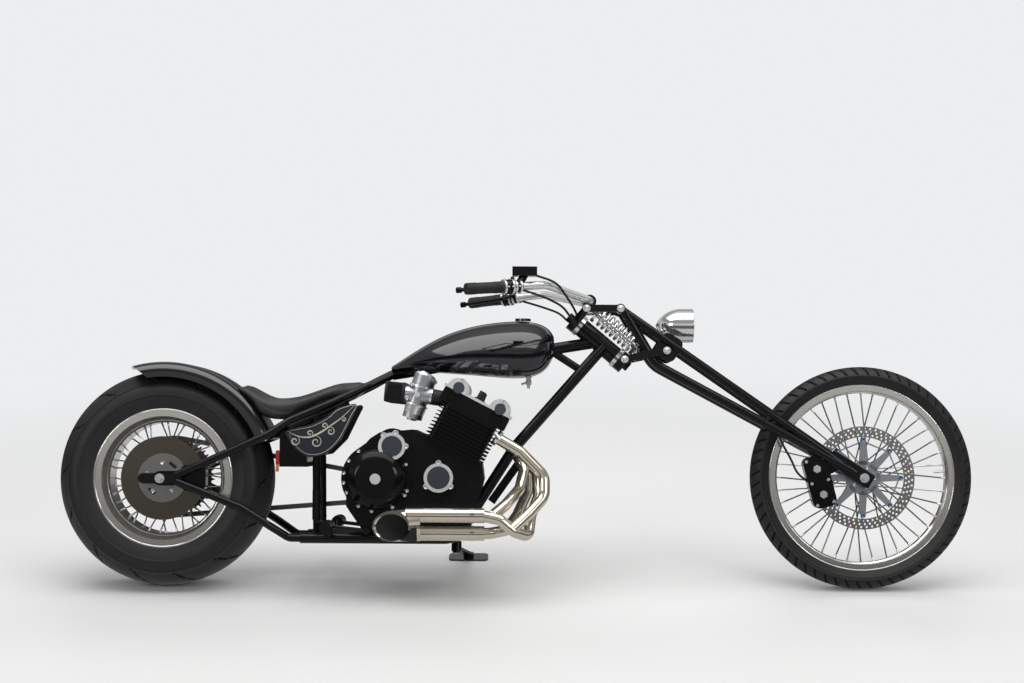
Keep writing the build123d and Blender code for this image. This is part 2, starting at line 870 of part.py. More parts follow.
clutch_face = -case_half_width - cover_plate
clutch_centre = (clutch_x, 0, clutch_z)
with BuildPart() as clutch_cover:
    with BuildSketch(wheel_plane(clutch_centre)):
        with BuildLine():
            Polyline((clutch_face - clutch_depth, 0), (clutch_face, 0), (clutch_face, clutch_radius),
                     (clutch_face - clutch_rim, clutch_radius - 3))
            ThreePointArc((clutch_face - clutch_rim, clutch_radius - 3),
                          (clutch_face - clutch_bulge_depth, clutch_bulge_radius),
                          (clutch_face - clutch_depth, clutch_face_radius))
            Line((clutch_face - clutch_depth, clutch_face_radius), (clutch_face - clutch_depth, 0))
        make_face()
    revolve(axis=Axis(clutch_centre, side_axis))
clutch_cover.part.label = "clutch_cover"

# Columns: X, Z, radius, depth, base from the centre plane, side of the bike, angles of the bolt ears
round_cover_table = (
    (crank_x, crank_z, ignition_radius, cover_depth, case_half_width, -1, (90, 215, 325)),
    (starter_x, starter_z, starter_radius, cover_depth, case_half_width + cover_plate, -1, (0, 75, 127, 245)),
    (crank_x, crank_z, generator_radius, cover_depth, case_half_width, 1, (30, 150, 270)),
    (clutch_x, clutch_z, clutch_plug_radius, cover_recess, case_half_width + cover_plate + clutch_depth, -1, ()),
)
with BuildPart() as round_covers:
    for x, z, radius, depth, base, side, ears in round_cover_table:
        cover_plane = Plane(origin=(x, side * base, z), x_dir=(-side, 0, 0), z_dir=(0, side, 0))
        with BuildSketch(cover_plane):
            Circle(radius)
            for ear in ears:
                with Locations((radius * cos(radians(ear)), radius * sin(radians(ear)))):
                    Circle(cover_ear_radius)
        extrude(amount=depth)
        if ears:
            with BuildSketch(cover_plane.offset(depth - cover_recess)):
                Circle(radius - 2 * cover_ear_radius / 2)
            extrude(amount=cover_recess, mode=Mode.SUBTRACT)
    add(clutch_cover.part, mode=Mode.SUBTRACT)
round_covers.part.label = "round_covers"

carb_places = [(index - (carb_count - 1) / 2) * carb_spacing for index in range(carb_count)]
port_in = cylinder_plane.from_local_coords(Vector(-block_depth / 2, 0, (head_height + head_top_height) / 2))
throat_start = Vector(port_in.X - throat_reach, 0, port_in.Z + throat_rise)
throat_end = throat_start + Vector(-throat_length, 0, throat_rise)
slide_lean = radians(slide_angle)
slide_up = Vector(sin(slide_lean), 0, cos(slide_lean))
slide_middle = (throat_start + throat_end) * 0.5
with BuildPart() as carburettors:
    for y in carb_places:
        shift = side_axis * y
        add(rod(Vector(port_in.X + fin_reach, 0, port_in.Z) + shift, throat_start + shift, boot_diameter))
        add(rod(throat_start + shift, throat_end + shift, throat_diameter))
        add(rod(slide_middle - slide_up * slide_down_reach + shift, slide_middle + slide_up * slide_up_reach + shift,
                slide_diameter))
        add(rod(slide_middle + slide_up * (slide_up_reach - slide_cap_height) + shift,
                slide_middle + slide_up * (slide_up_reach - 3) + shift, slide_cap_diameter))
    linkage = slide_middle + slide_up * (slide_up_reach - slide_cap_height / 2) + Vector(slide_cap_diameter / 2, 0, 0)
    add(rod(linkage + side_axis * carb_places[0], linkage + side_axis * carb_places[-1], linkage_diameter))
    add(cylinder_head.part, mode=Mode.SUBTRACT)
    add(cylinder_block.part, mode=Mode.SUBTRACT)
    add(cam_cover.part, mode=Mode.SUBTRACT)
carburettors.part.label = "carburettors"

filter_run = (throat_end - throat_start).normalized()
with BuildPart() as air_filters:
    for y in carb_places:
        neck = throat_end + side_axis * y + filter_run * seat_gap
        add(rod(neck, neck + filter_run * filter_length, filter_diameter))
    add(frame_rear.part, mode=Mode.SUBTRACT)
    add(frame_front.part, mode=Mode.SUBTRACT)
air_filters.part.label = "air_filters"

# Exhaust: four headers sweep forward, turn under the engine and join two pipes on the right
port_out = cylinder_plane.from_local_coords(Vector(block_depth / 2 + 1, 0, head_height + header_diameter / 4))
header_reach = exhaust_front_x - port_out.X
header_drop = port_out.Z - lower_pipe_z
# Columns: shares of the way forward from the port, across to the pipe, and down to the lower pipe
header_shares = (
    ((0.00, 0.00, 0.00), (0.50, 0.02, 0.15), (0.98, 0.10, 0.40), (0.98, 0.24, 0.62), (0.66, 0.62, 0.80),
     (0.34, 0.98, 0.95)),
    ((0.00, 0.00, 0.00), (0.36, -0.03, 0.12), (0.58, 0.10, 0.34), (0.48, 0.42, 0.54), (0.20, 0.78, 0.70),
     (-0.06, 1.00, 0.81)),
    ((0.00, 0.00, 0.00), (0.46, 0.04, 0.14), (0.84, 0.28, 0.38), (0.87, 0.50, 0.62), (0.71, 0.70, 0.82),
     (0.66, 0.88, 1.03), (0.38, 0.98, 0.98), (0.08, 1.00, 0.85), (-0.30, 1.00, 0.81)),
    ((0.00, 0.00, 0.00), (0.40, 0.01, 0.12), (0.68, 0.18, 0.34), (0.64, 0.45, 0.60), (0.44, 0.68, 0.82),
     (0.22, 0.88, 0.97), (-0.12, 1.00, 1.00), (-0.40, 1.00, 1.00)),
)
header_bends = (
    (header_bend, header_bend, header_bend, header_turn),
    (header_bend, header_bend, header_bend, header_turn),
    (header_bend, header_bend, header_bend, header_turn, header_turn, header_turn, header_bend),
    (header_bend, header_bend, header_bend, header_turn, header_turn, header_bend),
)
collector_start = clutch_x + clutch_radius + pipe_diameter
collector_share = 0.9
with BuildPart() as exhaust:
    for index, shares in enumerate(header_shares):
        port_y = (index - (carb_count - 1) / 2) * carb_spacing
        pipe_y = -lower_pipe_y if index == 3 else -upper_pipe_y
        places = [
            (port_out.X + ahead * header_reach, port_y + across * (pipe_y - port_y), port_out.Z - down * header_drop)
            for ahead, across, down in shares
        ]
        add(tube(places, header_diameter, header_bends[index]))
    for pipe_y, pipe_z in ((upper_pipe_y, upper_pipe_z), (lower_pipe_y, lower_pipe_z)):
        add(rod((port_out.X - header_diameter, -pipe_y, pipe_z), (collector_start - pipe_diameter, -pipe_y, pipe_z),
                pipe_diameter))
    with BuildSketch(Plane(origin=(collector_start, -collector_y, (upper_pipe_z + lower_pipe_z) / 2),
                           x_dir=(0, 1, 0), z_dir=(-1, 0, 0))):
        Ellipse(collector_share * pipe_diameter, (upper_pipe_z - lower_pipe_z + pipe_diameter) / 2 + 1)
    with BuildSketch(Plane(origin=(outlet_x, -outlet_y, outlet_z), x_dir=(0, 1, 0), z_dir=(-1, 0, 0))):
        Ellipse(outlet_half_width, outlet_half_height)
    loft()
exhaust_tip = Vector(outlet_x, -outlet_y + outlet_half_width, outlet_z)
exhaust_lip = Vector(outlet_x + outlet_slash, -outlet_y - outlet_half_width, outlet_z)
slash = exhaust_lip - exhaust_tip
with BuildPart() as exhaust_cut:
    with BuildSketch(Plane(origin=exhaust_tip - slash, x_dir=slash, z_dir=(0, 0, 1))):
        Rectangle(4 * slash.length, 2 * slash.length, align=(Align.MIN, Align.MAX))
    extrude(amount=2 * outlet_half_height, both=True)
with BuildPart() as exhaust_bore:
    with BuildSketch(Plane(origin=(outlet_x - cut_overrun, -outlet_y, outlet_z), x_dir=(0, 1, 0), z_dir=(1, 0, 0))):
        Ellipse(outlet_half_width - pipe_wall, outlet_half_height - pipe_wall)
    extrude(amount=outlet_slash + 2 * cut_overrun)
with exhaust:
    add(exhaust_cut.part, mode=Mode.SUBTRACT)
    add(exhaust_bore.part, mode=Mode.SUBTRACT)
    add(clutch_cover.part, mode=Mode.SUBTRACT)
    add(cylinder_head.part, mode=Mode.SUBTRACT)
exhaust.part.label = "exhaust"

with BuildPart() as oil_cooler:
    with BuildSketch(Plane(origin=(cooler_x, 0, cooler_z), x_dir=(0, 1, 0),
                           z_dir=(cos(radians(cooler_angle)), 0, -sin(radians(cooler_angle))))):
        Rectangle(cooler_width, cooler_height)
    extrude(amount=cooler_depth)
    add(exhaust.part, mode=Mode.SUBTRACT)
    add(frame_front.part, mode=Mode.SUBTRACT)
oil_cooler.part.label = "oil_cooler"

# Tank: columns are along, underside, top and width, as shares of the tank's sizes
tank_shares = (
    (0.00, 0.08, 0.19, 0.22),
    (0.18, 0.10, 0.52, 0.52),
    (0.40, 0.07, 0.82, 0.80),
    (0.64, 0.02, 0.97, 0.98),
    (0.84, 0.02, 0.99, 0.97),
    (1.00, 0.42, 0.72, 0.40),
)
waist_share = 0.42
keel_share = 0.5
cheek_share = 0.85
cheek_rise_share = 0.3
with BuildPart() as fuel_tank:
    for along, low, high, wide in tank_shares:
        base_z = tank_low_z + low * tank_height
        crown_z = tank_low_z + high * tank_height
        half = wide * tank_width / 2
        waist_z = base_z + waist_share * (crown_z - base_z)
        cheek_z = base_z + cheek_rise_share * (waist_z - base_z)
        with BuildSketch(Plane(origin=(tank_tail_x + along * tank_length, 0, 0),
                               x_dir=(0, 1, 0), z_dir=(1, 0, 0))):
            with BuildLine():
                ThreePointArc((half, waist_z), (0, crown_z), (-half, waist_z))
                ThreePointArc((-half, waist_z), (-cheek_share * half, cheek_z),
                              (-keel_share * half, base_z))
                Line((-keel_share * half, base_z), (keel_share * half, base_z))
                ThreePointArc((keel_share * half, base_z), (cheek_share * half, cheek_z),
                              (half, waist_z))
            make_face()
    loft()
    tunnel = backbone_diameter / 2 + seat_gap
    with BuildSketch(Plane(origin=head_middle, x_dir=(0, 1, 0), z_dir=backbone_run)):
        Circle(tunnel)
        with Locations((0, tank_height / 2)):
            Rectangle(2 * tunnel, tank_height)
    extrude(amount=backbone_run.length + cut_overrun, mode=Mode.SUBTRACT)
    add(frame_rear.part, mode=Mode.SUBTRACT)
fuel_tank.part.label = "fuel_tank"

with BuildPart() as fuel_cap:
    with BuildSketch(Plane(origin=(cap_x, 0, tank_low_z + tank_height), z_dir=(0, 0, 1))):
        Circle(cap_radius)
    extrude(amount=cap_height)
    with BuildSketch(Plane(origin=(cap_x, 0, tank_low_z + tank_height + cap_height), z_dir=(0, 0, 1))):
        Rectangle(2 * cap_radius, cap_height / 2)
    extrude(amount=-cap_height / 4, mode=Mode.SUBTRACT)
fuel_cap.part.label = "fuel_cap"

# Seat: columns are along, underside, top and width, as shares of the seat's sizes
seat_shares = (
    (0.00, 0.76, 0.97, 0.31),
    (0.27, 0.49, 0.84, 0.62),
    (0.50, 0.15, 0.56, 0.86),
    (0.77, 0.00, 0.56, 1.00),
    (0.93, 0.51, 0.83, 0.95),
    (1.00, 0.68, 0.86, 0.85),
)
with BuildPart() as seat:
    for along, low, high, wide in seat_shares:
        thick = (high - low) * seat_height
        with BuildSketch(Plane(origin=(seat_front_x - along * seat_length, 0,
                                       seat_low_z + (low + high) / 2 * seat_height),
                               x_dir=(0, 1, 0), z_dir=(-1, 0, 0))):
            RectangleRounded(wide * seat_width, thick, seat_corner_share * thick)
    loft()
    with BuildSketch(side_plane(rear_axle_x, fender_width, rear_tyre_radius)):
        Circle(fender_radius + seat_gap)
    extrude(amount=2 * fender_width, mode=Mode.SUBTRACT)
    add(frame_rear.part, mode=Mode.SUBTRACT)
seat.part.label = "seat"

with BuildPart() as rear_fender:
    fender_plane = Plane(origin=rear_axle, x_dir=(0, 1, 0),
                         z_dir=(-sin(radians(fender_start_angle)), 0, cos(radians(fender_start_angle))))
    half = fender_width / 2
    with BuildSketch(fender_plane):
        with Locations((0, -fender_radius + fender_skirt)):
            RectangleRounded(fender_width, 2 * fender_skirt, fender_corner)
            RectangleRounded(fender_width - 2 * fender_sheet, 2 * (fender_skirt - fender_sheet),
                             fender_corner - fender_sheet, mode=Mode.SUBTRACT)
        with Locations((0, -fender_radius + 1.5 * fender_skirt)):
            Rectangle(fender_width, fender_skirt, mode=Mode.SUBTRACT)
    revolve(axis=Axis(rear_axle, side_axis), revolution_arc=fender_start_angle - fender_end_angle)
rear_fender.part.label = "rear_fender"

# Yokes and stem
upper_yoke_base = cup_height + yoke_gap
lower_yoke_top = -head_length - cup_height - yoke_gap
boss_reach = leg_rear_diameter / 2 + 1
yoke_half = pivot_half_width + boss_reach
boss_radius = 32
pivot_bar_diameter = 24
stem_top = upper_yoke_base + yoke_thickness + stem_top_stub
stem_bottom = lower_yoke_top - lower_yoke_thickness - stem_low_stub
bar_centre = Vector(bar_centre_x, 0, bar_centre_z)
link_y = yoke_half + seat_gap + link_thickness / 2
pin_half = link_y + link_thickness / 2 + pin_overhang
with BuildPart() as steering_yokes:
    add(rod(head_plane.from_local_coords(Vector(0, 0, stem_top)),
            head_plane.from_local_coords(Vector(0, 0, stem_bottom)), stem_diameter))
    for base, height, reach in ((upper_yoke_base, yoke_thickness, upper_pivot_reach),
                                (lower_yoke_top, -lower_yoke_thickness, lower_pivot_reach)):
        with BuildSketch(head_plane.offset(base)):
            Circle(boss_radius)
            with BuildLine():
                Polyline((-stem_diameter, boss_radius), (reach, yoke_half), (reach, -yoke_half),
                         (-stem_diameter, -boss_radius), close=True)
            make_face()
        extrude(amount=height)
    for pivot in (upper_pivot, lower_pivot):
        add(rod(pivot - side_axis * yoke_half, pivot + side_axis * yoke_half, pivot_bar_diameter))
        add(rod(pivot - side_axis * pin_half, pivot + side_axis * pin_half, pivot_pin_diameter))
    for side in (1, -1):
        clamp = bar_centre + side_axis * side * (riser_y - riser_width / 2)
        add(rod(clamp, clamp + side_axis * side * riser_width, bar_diameter + 2 * clamp_wall))
        foot_end = upper_pivot + side_axis * side * riser_y
        add(rod(foot_end, bar_centre + side_axis * side * riser_y, riser_width))
    add(rod(bar_centre - side_axis * yoke_half, bar_centre + side_axis * yoke_half,
            bar_diameter + 2 * running_gap), mode=Mode.SUBTRACT)
steering_yokes.part.label = "steering_yokes"

# Columns: rear pivot, front joint
link_table = ((upper_pivot, upper_joint), (lower_pivot, lower_joint))
with BuildPart() as fork_links:
    for pivot, joint in link_table:
        run = joint - pivot
        middle = (pivot + joint) * 0.5
        for side in (1, -1):
            outer = side * link_y + link_thickness / 2
            with BuildSketch(Plane(origin=middle + side_axis * outer, x_dir=run, z_dir=(0, -1, 0))):
                SlotCenterToCenter(run.length, link_depth)
                with Locations((-run.length / 2, 0), (run.length / 2, 0)):
                    Circle(pivot_pin_diameter / 2 + running_gap, mode=Mode.SUBTRACT)
            extrude(amount=link_thickness)
fork_links.part.label = "fork_links"

# Girder legs
plate_turn = radians(axle_plate_angle)
plate_along = Vector(cos(plate_turn), 0, -sin(plate_turn))
leg_side = side_axis * pivot_half_width
rear_leg_top = upper_joint + (front_axle - upper_joint) * 0.02
leg_bend = Vector(leg_bend_x, 0, leg_bend_z)
rear_leg_end = front_axle - plate_along * 2 * axle_plate_lap
front_leg_end = front_axle - plate_along * (axle_plate_lap + eye_wall)
with BuildPart() as girder_legs:
    add(rod(upper_joint + leg_side, front_leg_end + leg_side, leg_front_diameter))
    add(tube((rear_leg_top + leg_side, leg_bend + leg_side, rear_leg_end + leg_side),
             leg_rear_diameter, leg_bend_radius))
    for joint in (upper_joint, lower_joint):
        add(rod(joint + side_axis * (pivot_half_width - boss_reach), joint + side_axis * yoke_half,
                link_depth + 2 * eye_wall))
        add(rod(joint + side_axis * yoke_half, joint + side_axis * pin_half, pivot_pin_diameter))
    with BuildSketch(Plane(origin=lower_joint + side_axis * (pivot_half_width + gusset_thickness / 2),
                           x_dir=plate_along, z_dir=(0, -1, 0))):
        with Locations((0, gusset_rise)):
            RectangleRounded(gusset_length, gusset_height, gusset_corner)
    extrude(amount=gusset_thickness)
    with BuildSketch(Plane(origin=front_axle + side_axis * (pivot_half_width + axle_plate_thickness / 2),
                           x_dir=plate_along, z_dir=(0, -1, 0))):
        with Locations((axle_plate_lap - axle_plate_length / 2, 0)):
            RectangleRounded(axle_plate_length, axle_plate_width, axle_plate_thickness / 3)
        Circle(front_axle_diameter / 2 + running_gap, mode=Mode.SUBTRACT)
    extrude(amount=axle_plate_thickness)
    mirror(about=Plane.XZ)
    lamp_bar = upper_joint + (front_axle - upper_joint) * 0.2
    add(rod(lamp_bar - leg_side, lamp_bar + leg_side, lamp_bar_diameter))
girder_legs.part.label = "girder_legs"

front_axle_half = pivot_half_width + axle_plate_thickness / 2 + axle_stub
with BuildPart() as front_axle_pin:
    add(rod(front_axle - side_axis * front_axle_half, front_axle + side_axis * front_axle_half, stub_diameter))
    add(rod(front_axle - side_axis * (front_axle_half - axle_stub), front_axle + side_axis * (front_axle_half - axle_stub),
            front_axle_diameter))
front_axle_pin.part.label = "front_axle"

# Handlebar and its controls
bar_end = Vector(bar_end_x, -bar_end_y, bar_end_z)
bar_elbow = Vector(bar_elbow_x, -bar_elbow_y, bar_elbow_z)
bar_shoulder = Vector(bar_centre.X, -bar_shoulder_y, bar_centre.Z)
with BuildPart() as handlebar:
    add(tube((
        bar_end, bar_elbow, bar_shoulder,
        (bar_shoulder.X, -bar_shoulder.Y, bar_shoulder.Z),
        (bar_elbow.X, -bar_elbow.Y, bar_elbow.Z),
        (bar_end.X, -bar_end.Y, bar_end.Z),
    ), bar_diameter, (elbow_bend, shoulder_bend, shoulder_bend, elbow_bend)))
handlebar.part.label = "handlebar"

grip_run = (bar_elbow - bar_end).normalized()
grip_plane = Plane(origin=bar_end - grip_run * grip_cap, x_dir=(0, 0, 1), z_dir=grip_run)
with BuildPart() as grips:
    with BuildSketch(grip_plane):
        Circle(grip_diameter / 2)
    extrude(amount=grip_length)
    with BuildSketch(grip_plane.offset(grip_cap - seat_gap)):
        Circle(bar_diameter / 2 + running_gap)
    extrude(amount=grip_length, mode=Mode.SUBTRACT)
    mirror(about=Plane.XZ)
    split(bisect_by=Plane.XZ, keep=Keep.BOTH)
grips.part.label = "grips"

housing_start = grip_length + 2
clamp_start = housing_start + housing_length + collar_gap
lever_root = Vector(lever_rise, -collar_diameter / 3, clamp_start + collar_length / 2)
lever_knee = Vector(lever_rise / 2, -lever_span, housing_start + lever_offset)
lever_tip = Vector(0, -lever_span - lever_flare, lever_end)
reservoir_place = Vector(reservoir_x, -reservoir_y, reservoir_z)
with BuildPart() as right_controls:
    with BuildSketch(grip_plane.offset(housing_start)):
        Circle(housing_diameter / 2)
    extrude(amount=housing_length)
    with BuildSketch(grip_plane.offset(clamp_start)):
        Circle(collar_diameter / 2)
    extrude(amount=collar_length)
    with BuildSketch(grip_plane.offset(housing_start + housing_length)):
        with Locations((lever_rise + lever_diameter, 0)):
            Circle(knob_diameter / 2)
    extrude(amount=collar_gap)
    with Locations(reservoir_place):
        Box(reservoir_length, reservoir_width, reservoir_height)
    add(rod(reservoir_place - Vector(0, 0, reservoir_height / 3),
            grip_plane.from_local_coords(Vector(0, 0, clamp_start + collar_length / 2)), 2 * lever_diameter))
    add(rod(grip_plane.from_local_coords(lever_root), grip_plane.from_local_coords(lever_knee), lever_diameter))
    add(rod(grip_plane.from_local_coords(lever_knee), grip_plane.from_local_coords(lever_tip), lever_diameter))
    add(rod(grip_plane.from_local_coords(lever_tip - Vector(0, 0, lever_ball_radius)),
            grip_plane.from_local_coords(lever_tip + Vector(0, 0, lever_ball_radius / 2)), 2 * lever_ball_radius))
    with BuildSketch(grip_plane.offset(housing_start - cut_overrun)):
        Circle(bar_diameter / 2 + running_gap)
    extrude(amount=grip_length, mode=Mode.SUBTRACT)
right_controls.part.label = "right_controls"

left_plane = Plane(origin=(grip_plane.origin.X, -grip_plane.origin.Y, grip_plane.origin.Z),
                   x_dir=(0, 0, 1), z_dir=(grip_run.X, -grip_run.Y, grip_run.Z))
clutch_root = Vector(lever_root.X, -lever_root.Y, lever_root.Z)
clutch_knee = Vector(-lever_knee.X, -lever_knee.Y, lever_knee.Z)
clutch_tip = Vector(-lever_rise, -lever_tip.Y, lever_end)
with BuildPart() as left_controls:
    with BuildSketch(left_plane.offset(housing_start)):
        Circle(housing_diameter / 2)
    extrude(amount=housing_length)
    with BuildSketch(left_plane.offset(housing_start + housing_length / 3)):
        with Locations((housing_diameter / 2, 0)):
            Circle(knob_diameter / 2)
    extrude(amount=knob_diameter)
    with BuildSketch(left_plane.offset(clamp_start - collar_gap)):
        Circle(collar_diameter / 2)
    extrude(amount=collar_length)
    add(rod(left_plane.from_local_coords(clutch_root), left_plane.from_local_coords(clutch_knee), lever_diameter))
    add(rod(left_plane.from_local_coords(clutch_knee), left_plane.from_local_coords(clutch_tip), lever_diameter))
    add(rod(left_plane.from_local_coords(clutch_tip - Vector(0, 0, lever_ball_radius)),
            left_plane.from_local_coords(clutch_tip + Vector(0, 0, lever_ball_radius / 2)), 2 * lever_ball_radius))
    with BuildSketch(left_plane.offset(housing_start - cut_overrun)):
        Circle(bar_diameter / 2 + running_gap)
    extrude(amount=grip_length, mode=Mode.SUBTRACT)
left_controls.part.label = "left_controls"

# Headlamp
lamp_top = lamp_z + lamp_radius
with BuildPart() as headlamp:
    with BuildSketch(Plane.XZ):
        with BuildLine():
            Polyline((lamp_front_x, lamp_z), (lamp_front_x, lamp_top), (lamp_front_x - lamp_band, lamp_top))
            ThreePointArc((lamp_front_x - lamp_band, lamp_top),
                          (lamp_front_x - lamp_bulge, lamp_z + lamp_radius * lamp_bulge_share),
                          (lamp_front_x - lamp_depth, lamp_z))
            Line((lamp_front_x - lamp_depth, lamp_z), (lamp_front_x, lamp_z))
        make_face()
    revolve(axis=Axis((0, 0, lamp_z), (1, 0, 0)))
    with BuildSketch(Plane(origin=(lamp_front_x, 0, lamp_z), z_dir=(-1, 0, 0))):
        Circle(lamp_radius - lamp_wall)
    extrude(amount=lens_depth, mode=Mode.SUBTRACT)
    add(rod((lamp_bar.X, 0, lamp_bar.Z), (lamp_bar.X, 0, lamp_z), lamp_post_diameter))
    add(girder_legs.part, mode=Mode.SUBTRACT)
headlamp.part.label = "headlamp"

with BuildPart() as headlamp_lens:
    with BuildSketch(Plane(origin=(lamp_front_x - lens_depth, 0, lamp_z), z_dir=(1, 0, 0))):
        Circle(lamp_radius - lamp_wall - seat_gap)
    extrude(amount=lens_depth - 2)
headlamp_lens.part.label = "headlamp_lens"

# Fork spring: an open coil round a guide rod, between two cups
spring_top = head_plane.from_local_coords(Vector(spring_reach, 0, -spring_top_drop))
spring_low = head_plane.from_local_coords(Vector(spring_reach, 0, -spring_top_drop - spring_length - 2 * spring_cup))
spring_up = (spring_top - spring_low).normalized()
coil_low = spring_low + spring_up * spring_cup
coil_plane = Plane(origin=coil_low, x_dir=(0, 1, 0), z_dir=spring_up)
low_bar = lower_pivot + (lower_joint - lower_pivot) * spring_bar_share
spring_bar_half = link_y - link_thickness / 2 - seat_gap
with BuildPart() as fork_spring:
    with BuildLine(coil_plane):
        coil = Helix(pitch=spring_pitch, height=spring_length, radius=spring_radius)
    with BuildSketch(Plane(origin=coil @ 0, z_dir=coil % 0)):
        RegularPolygon(spring_wire / 2, 6)
    sweep(path=coil, is_frenet=True)
    add(rod(spring_low, spring_low + spring_up * (spring_cup + spring_wire / 2), 2 * spring_radius + spring_wire))
    add(rod(spring_top - spring_up * (spring_cup + spring_wire / 2), spring_top, 2 * spring_radius + spring_wire))
    add(rod(spring_low, spring_top, spring_rod_diameter))
    add(rod(spring_top, upper_pivot, spring_rod_diameter))
    add(rod(spring_low, low_bar, spring_rod_diameter))
    add(rod(low_bar - side_axis * spring_bar_half, low_bar + side_axis * spring_bar_half, spring_rod_diameter))
    add(steering_yokes.part, mode=Mode.SUBTRACT)
fork_spring.part.label = "fork_spring"

# Front caliper: two pistons' housing round the disc, on a bracket from the axle plate
caliper_centre = Vector(front_axle_x - caliper_reach, 0, front_tyre_radius - caliper_drop)
caliper_turn = radians(caliper_angle)
caliper_plane = Plane(origin=caliper_centre - side_axis * caliper_inner_y,
                      x_dir=(sin(caliper_turn), 0, -cos(caliper_turn)), z_dir=(0, -1, 0))
# Columns: shares of the bracket's length and height, from its rear lower corner
bracket_shares = ((0.00, 0.00), (0.52, 0.00), (1.00, 0.34), (0.81, 0.62), (0.24, 0.86))
bracket_low = (front_axle_x - bracket_reach, front_tyre_radius + bracket_rise)
bracket_high = (bracket_low[0] + bracket_length, bracket_low[1] + bracket_height)
bracket_outline = between(bracket_low, bracket_high, bracket_shares)
with BuildPart() as front_caliper:
    with BuildSketch(caliper_plane):
        RectangleRounded(caliper_length, caliper_height, caliper_corner)
    extrude(amount=caliper_depth)
    with BuildSketch(caliper_plane.offset(caliper_depth)):
        with Locations((-caliper_length / 4, 0), (caliper_length / 4, 0)):
            Circle(piston_radius)
    extrude(amount=piston_cap)
    with BuildSketch(side_plane(front_axle_x, -front_disc_y + disc_slot / 2, front_tyre_radius)):
        Circle(front_disc_radius + running_clearance)
    extrude(amount=disc_slot, mode=Mode.SUBTRACT)
    with BuildSketch(side_plane(0, -bracket_y, 0)):
        with BuildLine():
            FilletPolyline(*bracket_outline, close=True, radius=bracket_corner)
        make_face()
    extrude(amount=bracket_thickness)
    add(girder_legs.part, mode=Mode.SUBTRACT)
front_caliper.part.label = "front_caliper"

# Cables and brake hose that turn with the bars; they end in the upper yoke
cable_start = (reservoir_x + reservoir_length / 2, -reservoir_y, reservoir_z)
cable_end_z = upper_yoke_base + yoke_thickness * 0.7
cable_end = tuple(head_plane.from_local_coords(Vector(cable_end_reach, -cable_end_y, cable_end_z)))
# Columns: shares of the way along, across and down
brake_hose_shares = (
    (-0.04, 0.00, 0.08), (0.49, 0.07, 0.23), (0.90, 0.46, 0.73), (1.03, 0.77, 0.92), (1.00, 1.00, 1.00),
)
cable_shares = (
    (-0.39, -0.10, 0.42), (0.16, -0.04, 0.57), (0.65, 0.28, 0.76), (0.88, 0.59, 1.02), (1.04, 1.00, 1.05),
)
caliper_hose_shares = (
    (0.00, 0.00, 0.00), (0.22, 0.30, 0.30), (0.48, 0.60, 0.57), (0.67, 0.90, 0.84), (1.00, 1.00, 1.00),
)
hose_top = leg_bend + (rear_leg_end - leg_bend) * hose_top_share - leg_side
hose_end = caliper_centre + Vector(-caliper_height / 2, -caliper_inner_y - caliper_depth * 0.75, 0)
with BuildPart() as control_cables:
    add(hose(between(cable_start, cable_end, cable_shares), hose_diameter))
    mirror(about=Plane.XZ)
    add(hose(between(cable_start, cable_end, brake_hose_shares), hose_diameter))
    add(hose(between(tuple(hose_top), tuple(hose_end), caliper_hose_shares), hose_diameter))
    for solid in (steering_yokes, right_controls, left_controls, girder_legs, front_caliper, handlebar, grips):
        add(solid.part, mode=Mode.SUBTRACT)
control_cables.part.label = "control_cables"

# Rear caliper, on a link from the axle
rear_caliper_x = rear_axle_x + rear_caliper_reach
with BuildPart() as rear_caliper:
    with BuildSketch(side_plane(rear_caliper_x, -rear_caliper_inner_y, rear_tyre_radius + 2)):
        RectangleRounded(rear_caliper_length, rear_caliper_length, rear_caliper_corner)
    extrude(amount=rear_caliper_depth)
    with BuildSketch(side_plane(rear_axle_x, -rear_disc_y + disc_slot / 2, rear_tyre_radius)):
        Circle(rear_disc_radius + running_clearance)
    extrude(amount=disc_slot, mode=Mode.SUBTRACT)
    with BuildSketch(side_plane(rear_axle_x, -caliper_link_y, rear_tyre_radius)):
        with Locations((rear_caliper_reach / 2, 0)):
            SlotOverall(caliper_link_length, caliper_link_height)
        Circle(rear_axle_diameter / 2 + running_gap, mode=Mode.SUBTRACT)
    extrude(amount=caliper_link_thickness)
rear_caliper.part.label = "rear_caliper"

# Drive chain with its front sprocket
output_radius = chain_pitch / 2 / sin(pi / output_teeth)
centre_run = Vector(output_x - rear_axle_x, output_z - rear_tyre_radius)
line_angle = atan2(centre_run.Y, centre_run.X)
wrap = pi / 2 - asin((pitch_radius - output_radius) / centre_run.length)
tooth_step = 2 * pi / sprocket_teeth
pins = []
for tooth in range(sprocket_teeth):
    turn = tooth * tooth_step
    if wrap < (turn - line_angle) % (2 * pi) < 2 * pi - wrap:
        pins.append((rear_axle_x + pitch_radius * cos(turn), rear_tyre_radius + pitch_radius * sin(turn)))
front_step = 2 * pi / output_teeth
front_pins = int(2 * wrap / front_step)
for index in range(front_pins + 1):
    turn = line_angle - wrap + index * 2 * wrap / front_pins
    pins.append((output_x + output_radius * cos(turn), output_z + output_radius * sin(turn)))
run_length = sqrt(centre_run.length**2 - (pitch_radius - output_radius)**2)
for side in (1, -1):
    turn = line_angle + side * wrap
    spare = (side * turn) % tooth_step * pitch_radius
    distance = spare
    while distance < run_length - roller_radius:
        share = distance / run_length
        radius = pitch_radius + (output_radius - pitch_radius) * share
        pins.append((rear_axle_x + centre_run.X * share + radius * cos(turn),
                     rear_tyre_radius + centre_run.Y * share + radius * sin(turn)))
        distance += chain_pitch
